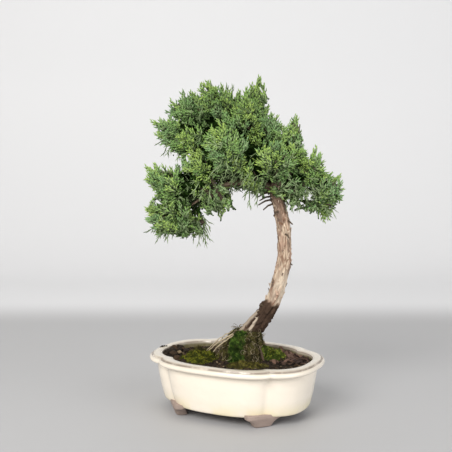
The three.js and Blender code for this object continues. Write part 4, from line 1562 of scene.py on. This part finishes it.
def strand(foot, tip, seed, finish):
    """A long, thin shoot from foot to tip, a little bent, with a few side shoots."""
    draw = np.random.default_rng(seed)
    span = tip - foot
    length = span.length / MM
    across, ahead = span.orthogonal().normalized(), span.normalized()
    turned = ahead.cross(across)
    bend = (across * draw.uniform(-1, 1) + turned * draw.uniform(-1, 1)) * 0.12 * length
    body = Body()

    def stem(t):
        return foot / MM + span / MM * t + bend * 4 * t * (1 - t)

    radii = [0.6, 0.56, 0.52, 0.48, 0.46, 0.42]
    body.stem([stem(k / 6) for k in range(7)], radii, [0.02, 0.05, 0.1, 0.2, 0.25, 0.3, 0.45])
    for i in range(round(length / 4)):
        start = stem(draw.uniform(0.3, 0.92))
        turn = 2.4 * i + draw.uniform(-0.5, 0.5)
        side = across * math.cos(turn) + turned * math.sin(turn)
        out = (side * 0.65 + ahead).normalized()
        size = draw.uniform(3.5, 7.5)
        end = start + out * size * 0.55 + (out + ahead) * size * 0.24
        body.stem([start, start + out * size * 0.5, end], [0.4, 0.42], [0.15, 0.3, 0.5])
    body.points = [p * MM for p in body.points]
    return body.shoot("strand", finish, tone=0.3, depth=0.0, fresh=0.2, clump=0.2)


def shade_finish():
    f = Finish("crown_shade")
    colour = f.blend(f.cloud(0.003, 5.0).over(0.4, 0.65), (0.004, 0.009, 0.002), (0.016, 0.034, 0.007))
    return f.surface(colour, 0.95, f.cloud(0.0015, 4.0), 0.0012, Specular_IOR_Level=0.0)


def painted_shade_core(surface, finish):
    """A dark shell of painted shade inside the crown: its surface drawn in by some millimetres, and
    roughened.
    """
    core = place_in_scene("crown_core", surface.copy())
    for _ in range(3):
        modify(core, "DISPLACE", strength=-CORE_DEPTH / 3, mid_level=0.0)
        modify(core, "REMESH", mode="VOXEL", voxel_size=CORE_VOXEL)
    core.data = mesh = modified_mesh(core)
    for vertex, normal in zip(mesh.vertices, [v.normal.copy() for v in mesh.vertices]):
        vertex.co += normal * 2.4 * MM * noise.noise(vertex.co * 260)
        right, away, up = seen_at(vertex.co)
        if NOTCH[0] < right < NOTCH[1] and NOTCH[2] < up < NOTCH[3]:
            vertex.co.z -= (up - NOTCH[2]) * MM
    mesh.materials.clear()
    mesh.materials.append(finish)
    return settle(core, "foliage")


# The three kinds of shoot on a pad: what their geometry tree takes
SHOOT_KINDS = {
    "sprays": {"Sprays": 4, "Deepest": 0.010, "Spread": 0.24, "Clump depth": 0.02, "Smallest": 0.9,
               "Largest": 1.3},
    "threads": {"Sprays": 1, "Deepest": 0.004, "Outward": 0.2, "Lift": -1.1, "Spread": 0.3,
                "Clump depth": 0.08, "Valley": 0.0, "Uneven": 0.0, "Smallest": 0.7, "Largest": 1.2},
    "inner": {"Sprays": 2, "Deepest": 0.012, "Proud": -0.009, "Outward": 0.3, "Lift": 0.2, "Spread": 0.5,
              "Smallest": 0.9, "Largest": 1.3},
}


def make_foliage(settings):
    finish = scale_leaf_finish(settings)
    growth = foliage_tree("spray_growth", finish)
    shapes = {
        "sprays": variants("sprays", [spray(100 + i).mesh() for i in range(10)]),
        "threads": variants("threads", [thread(200 + i).mesh() for i in range(8)]),
        "inner": variants("stout_sprays", [spray(150 + i, 4, 1.5).mesh() for i in range(6)]),
    }
    surface = crown_surface()
    painted_shade_core(surface, shade_finish())
    for i, (node, carrier) in enumerate(zip(PADS, pad_surfaces(surface))):
        label = node.replace("foliage_", "")
        grows = {**USUAL_GROWTH, "sprays": settings.shoot_spacing / MM, **PAD_GROWTH.get(label, {})}
        slopes = {"sprays": (grows["leafy_above"], 1.1), "threads": (-1.1, grows["threads_below"])}
        made = []
        for k, (kind, values) in enumerate(SHOOT_KINDS.items()):
            low, high = slopes.get(kind, (-1.1, 1.1))

            def grows_at(p, n, face):
                return low < n.z < high and seen_at(p).x > grows.get("right_of", -200) and not opening(p)

            values = {
                "Shapes": shapes[kind], "Fan origin": fan_origin(node), "Spacing": grows[kind] * MM,
                "Seed": 31 * i + 9 * k, **values,
            }
            if kind == "sprays":
                values["Proud"] = grows["proud"] * MM
            made.append(grown(node + "_" + kind, upper_faces(carrier, grows_at), growth, values, finish))
        bpy.data.objects.remove(carrier)
        for grow, table, seed in ((leader, LEADERS, 700), (strand, STRANDS, 800)):
            ends = [(pad, *row) for pad, rows in table.items() for row in rows]
            for k, (pad, *row) in enumerate(ends):
                if pad == label:
                    made.append(grow(shown(*row[:3]), shown(*row[3:]), seed + k, finish))
        settle(pruned(joined(node.replace("foliage_", "shoots_"), made)), "foliage", node)


def make_twigs(settings):
    """Thin brown twigs that fan out inside each pad and carry its sprays."""
    draw = np.random.default_rng(5)
    paths = []
    for node in PADS:
        low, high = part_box(node)
        right, up, _ = PAD_FIT.get(node.replace("foliage_", ""), (0, 0, 0))
        middle, half = (low + high) / 2 + TURN @ Vector((right, 0, up)) * MM, (high - low) / 2
        start = fan_origin(node)
        for _ in range(TWIGS_IN_PAD):
            end = middle + Vector(draw.normal(size=3)).normalized() * half * 0.5
            bend = start.lerp(end, 0.5) + Vector((*draw.uniform(-0.0015, 0.0015, 2), -0.0015))
            paths.append([(start, 0.0009), (bend, 0.0007), (end, 0.0004)])
    for row in TRUNK_TWIGS:
        foot, tip = shown(*row[:3]), shown(*row[3:])
        bend = foot.lerp(tip, 0.5) + Vector((0, 0, 0.0012))
        paths.append([(foot, 0.0011), (bend, 0.0009), (tip, 0.0006)])
    settle(pruned(path_tubes("inner_twigs", paths, 5, twig_finish())), "bark")


# Dead twigs and stubs on the bare trunk, from foot to tip
TRUNK_TWIGS = [
    (34, -3, 194, 24.5, -7, 188.5), (33, -3, 198, 20, -7, 193), (33, -3, 201, 21, -6, 197),
    (33, -3, 205, 19, -5, 200), (33, 2, 207, 22, 5, 201), (41, -4, 203, 48, -8, 193),
    (42, -3, 199, 46, -5, 185), (38, -5, 187, 34, -9, 183), (46, -2, 178, 52, -4, 175),
    (45, -4, 166, 48, -9, 163), (38, -2, 124, 33, -4, 120), (46, -2, 140, 52, -3, 137),
    (44, 4, 150, 49, 9, 147), (25, -1, 98, 21.8, -2, 99), (39, 0, 112, 43.8, -1, 113),
    (37, 0, 105, 41, -1, 106.5), (30, 0, 91, 34.6, -1, 89.5),
]


# Stage


# Of the photograph, in its pixels: its width, its lens' focal length, and how far its middle lies under
# the horizon
PHOTO_WIDTH, FOCAL_LENGTH, TILT = 452, 778, 58
SENSOR_WIDTH = 36.0


def make_camera():
    """The photograph's view: from the show side, a little above the rim."""
    data = bpy.data.cameras.new("view")
    data.sensor_width = SENSOR_WIDTH
    data.lens = SENSOR_WIDTH * FOCAL_LENGTH / PHOTO_WIDTH
    data.clip_start = 0.01
    data.clip_end = 20.0
    camera = place_in_scene("view", data)
    camera.location = shown(VIEW[0], -VIEW[1], VIEW[2])
    camera.rotation_euler = (math.pi / 2 - math.atan(TILT / FOCAL_LENGTH), 0.0, SHOW_SIDE)
    bpy.context.scene.camera = camera


def add_light(name, place, aim, size, power, colour=(1.0, 1.0, 1.0)):
    data = bpy.data.lights.new(name, "AREA")
    data.shape = "DISK"
    data.size, data.energy, data.color = size, power, colour
    light = place_in_scene(name, data)
    light.location = shown(*place)
    light.rotation_euler = (shown(*aim) - light.location).to_track_quat("-Z", "Y").to_euler()


# How far the floor lies under the pot's feet, in metres
FLOOR_GAP = 0.0002


def make_stage(settings):
    """A floor that curves up into a backdrop, four lamps and a pale sky."""
    far, wall, curve = 1.3, 2.4, 0.5
    bend = np.linspace(0.1, math.pi / 2, 16)
    profile = [(-2.5, 0.0), (far - curve, 0.0)]
    profile += [(far - curve + curve * math.sin(a), curve - curve * math.cos(a)) for a in bend]
    profile.append((far, wall))
    places = [(right / MM, away / MM, up / MM) for away, up in profile for right in (-3.0, 3.0)]
    faces = [(k, k + 1, k + 3, k + 2) for k in range(0, len(places) - 2, 2)]
    points = [shown(*place) - Vector((0, 0, FLOOR_GAP)) for place in places]
    new_piece("floor_and_backdrop", points, faces, floor_finish(settings))
    add_light("key", (-970, -1600, 1310), (10, 0, 130), 1.4, 54.0, (1.0, 0.98, 0.95))
    add_light("fill", (1590, -1200, 710), (10, 0, 130), 2.0, 26.0, (0.97, 0.98, 1.0))
    add_light("top", (0, 200, 1200), (10, 0, 100), 0.9, 1.2)
    add_light("backdrop", (0, 500, 1900), (0, 1300, 400), 1.2, 3.0)
    world = bpy.data.worlds.new("studio")
    world.use_nodes = True
    sky = world.node_tree.nodes["Background"].inputs
    sky["Color"].default_value = (1.0, 0.985, 0.96, 1.0)
    sky["Strength"].default_value = 0.46
    bpy.context.scene.world = world
    bpy.context.scene.view_settings.view_transform = "Standard"


# Settings, operators and panel


def colour(label, description, default):
    return FloatVectorProperty(name=label, description=description, subtype="COLOR", size=3, default=default,
                               min=0.0, max=1.0)


class BonsaiPotSettings(bpy.types.PropertyGroup):
    glaze: colour("Glaze", "Colour of the cream glaze", (0.87, 0.79, 0.675))
    pooled_glaze: colour("Pooled glaze", "Colour where the glaze lies thick", (0.78, 0.68, 0.36))
    # Real stain inside the rim, also used as painted shade on the rim's top
    stained_and_shaded_glaze: colour("Stained glaze", "Colour of the glaze inside the rim", (0.13, 0.11, 0.055))
    thin_glaze: colour("Thin glaze", "Colour where the glaze breaks over an edge", (0.19, 0.145, 0.11))
    clay: colour("Clay", "Colour of the bare feet", (0.35, 0.27, 0.23))
    soil: colour("Soil", "Colour of the soil's crumbs", (0.032, 0.023, 0.016))


class BonsaiTreeSettings(bpy.types.PropertyGroup):
    under_bark: colour("Under-bark", "Colour where the bark has peeled", (0.64, 0.50, 0.37))
    plate_bark: colour("Bark plates", "Colour of the bark's loose plates", (0.43, 0.295, 0.215))
    crack: colour("Cracks", "Colour of the cracks in the bark", (0.19, 0.095, 0.055))
    old_bark: colour("Old bark", "Colour of the dark bark near the base", (0.046, 0.027, 0.017))
    pale_wood: colour("Dead wood", "Colour of the bare strip", (0.66, 0.56, 0.44))
    root: colour("Roots", "Colour of the fine surface roots", (0.62, 0.51, 0.34))
    leaf: colour("Leaf", "Colour of the shoots", (0.215, 0.375, 0.08))
    blue_leaf: colour("Blue leaf", "Colour of the shaded shoots", (0.185, 0.325, 0.135))
    # Painted shade: the dark green at the shoots' feet, in the sunken plumes and on the crown's top
    leaf_shade: colour("Inner leaf", "Colour of the shoots' feet", (0.028, 0.07, 0.01))
    leaf_tip: colour("Leaf tip", "Colour of the fresh tips", (0.38, 0.52, 0.12))
    thread: colour("Thread", "Colour of the thin, older shoots", (0.34, 0.42, 0.23))
    shoot_spacing: FloatProperty(name="Shoot spacing", description="Least distance between two shoots",
                                 default=0.0072, min=0.003, max=0.02, subtype="DISTANCE", unit="LENGTH")


class BonsaiStageSettings(bpy.types.PropertyGroup):
    floor: colour("Floor", "Colour of the floor", (0.40, 0.40, 0.405))
    backdrop: colour("Backdrop", "Colour of the backdrop behind the floor", (0.60, 0.602, 0.61))


class BonsaiOperator:
    bl_options = {"REGISTER", "UNDO"}


class BONSAI_OT_pot(BonsaiOperator, bpy.types.Operator):
    """Makes the glazed pot with its feet and drain holes"""

    bl_idname = "bonsai.pot"
    bl_label = "Pot"

    def execute(self, context):
        make_pot(context.scene.bonsai_pot)
        screens = dark_plastic()
        for side in ("left", "right"):
            node = NODES["drain_screen_" + side]
            node.data.materials.clear()
            node.data.materials.append(screens)
        return {"FINISHED"}


class BONSAI_OT_soil(BonsaiOperator, bpy.types.Operator):
    """Fills the pot with soil and strews grains and bark chips on it"""

    bl_idname = "bonsai.soil"
    bl_label = "Soil"

    def execute(self, context):
        soil = make_soil(context.scene.bonsai_pot)
        make_grains(context.scene.bonsai_pot, soil)
        make_fine_roots(context.scene.bonsai_tree, soil)
        return {"FINISHED"}


class BONSAI_OT_moss(BonsaiOperator, bpy.types.Operator):
    """Grows the moss cushions"""

    bl_idname = "bonsai.moss"
    bl_label = "Moss"

    def execute(self, context):
        make_moss()
        return {"FINISHED"}


class BONSAI_OT_trunk(BonsaiOperator, bpy.types.Operator):
    """Grows the trunk, its branches and its surface roots"""

    bl_idname = "bonsai.trunk"
    bl_label = "Trunk and branches"

    def execute(self, context):
        make_trunk(context.scene.bonsai_tree)
        make_twigs(context.scene.bonsai_tree)
        return {"FINISHED"}


class BONSAI_OT_foliage(BonsaiOperator, bpy.types.Operator):
    """Grows the scale-leaved sprigs of every foliage pad"""

    bl_idname = "bonsai.foliage"
    bl_label = "Foliage"

    def execute(self, context):
        make_foliage(context.scene.bonsai_tree)
        return {"FINISHED"}


class BONSAI_OT_stage(BonsaiOperator, bpy.types.Operator):
    """Sets up the floor, the light and the view"""

    bl_idname = "bonsai.stage"
    bl_label = "Stage"

    def execute(self, context):
        make_camera()
        make_stage(context.scene.bonsai_stage)
        return {"FINISHED"}


class BONSAI_PT_panel(bpy.types.Panel):
    """Lists the bonsai's settings and pieces"""

    bl_idname = "BONSAI_PT_panel"
    bl_label = "Juniper Bonsai"
    bl_space_type = "VIEW_3D"
    bl_region_type = "UI"
    bl_category = "Bonsai"

    def draw(self, context):
        for group in (context.scene.bonsai_pot, context.scene.bonsai_tree, context.scene.bonsai_stage):
            box = self.layout.box()
            for key in group.__annotations__:
                box.prop(group, key)
        for operator in OPERATORS:
            self.layout.operator(operator.bl_idname)


OPERATORS = (
    BONSAI_OT_stage, BONSAI_OT_pot, BONSAI_OT_soil, BONSAI_OT_moss, BONSAI_OT_trunk, BONSAI_OT_foliage,
)
GROUPS = {
    "bonsai_pot": BonsaiPotSettings, "bonsai_tree": BonsaiTreeSettings, "bonsai_stage": BonsaiStageSettings,
}


def register():
    for cls in (*GROUPS.values(), *OPERATORS, BONSAI_PT_panel):
        bpy.utils.register_class(cls)
    for name, group in GROUPS.items():
        setattr(bpy.types.Scene, name, PointerProperty(type=group))


def unregister():
    for name in GROUPS:
        delattr(bpy.types.Scene, name)
    for cls in reversed((*GROUPS.values(), *OPERATORS, BONSAI_PT_panel)):
        bpy.utils.unregister_class(cls)


def main():
    register()
    bpy.ops.bonsai.stage()
    bpy.ops.bonsai.pot()
    bpy.ops.bonsai.soil()
    bpy.ops.bonsai.moss()
    bpy.ops.bonsai.trunk()
    bpy.ops.bonsai.foliage()


if __name__ == "__main__":
    main()
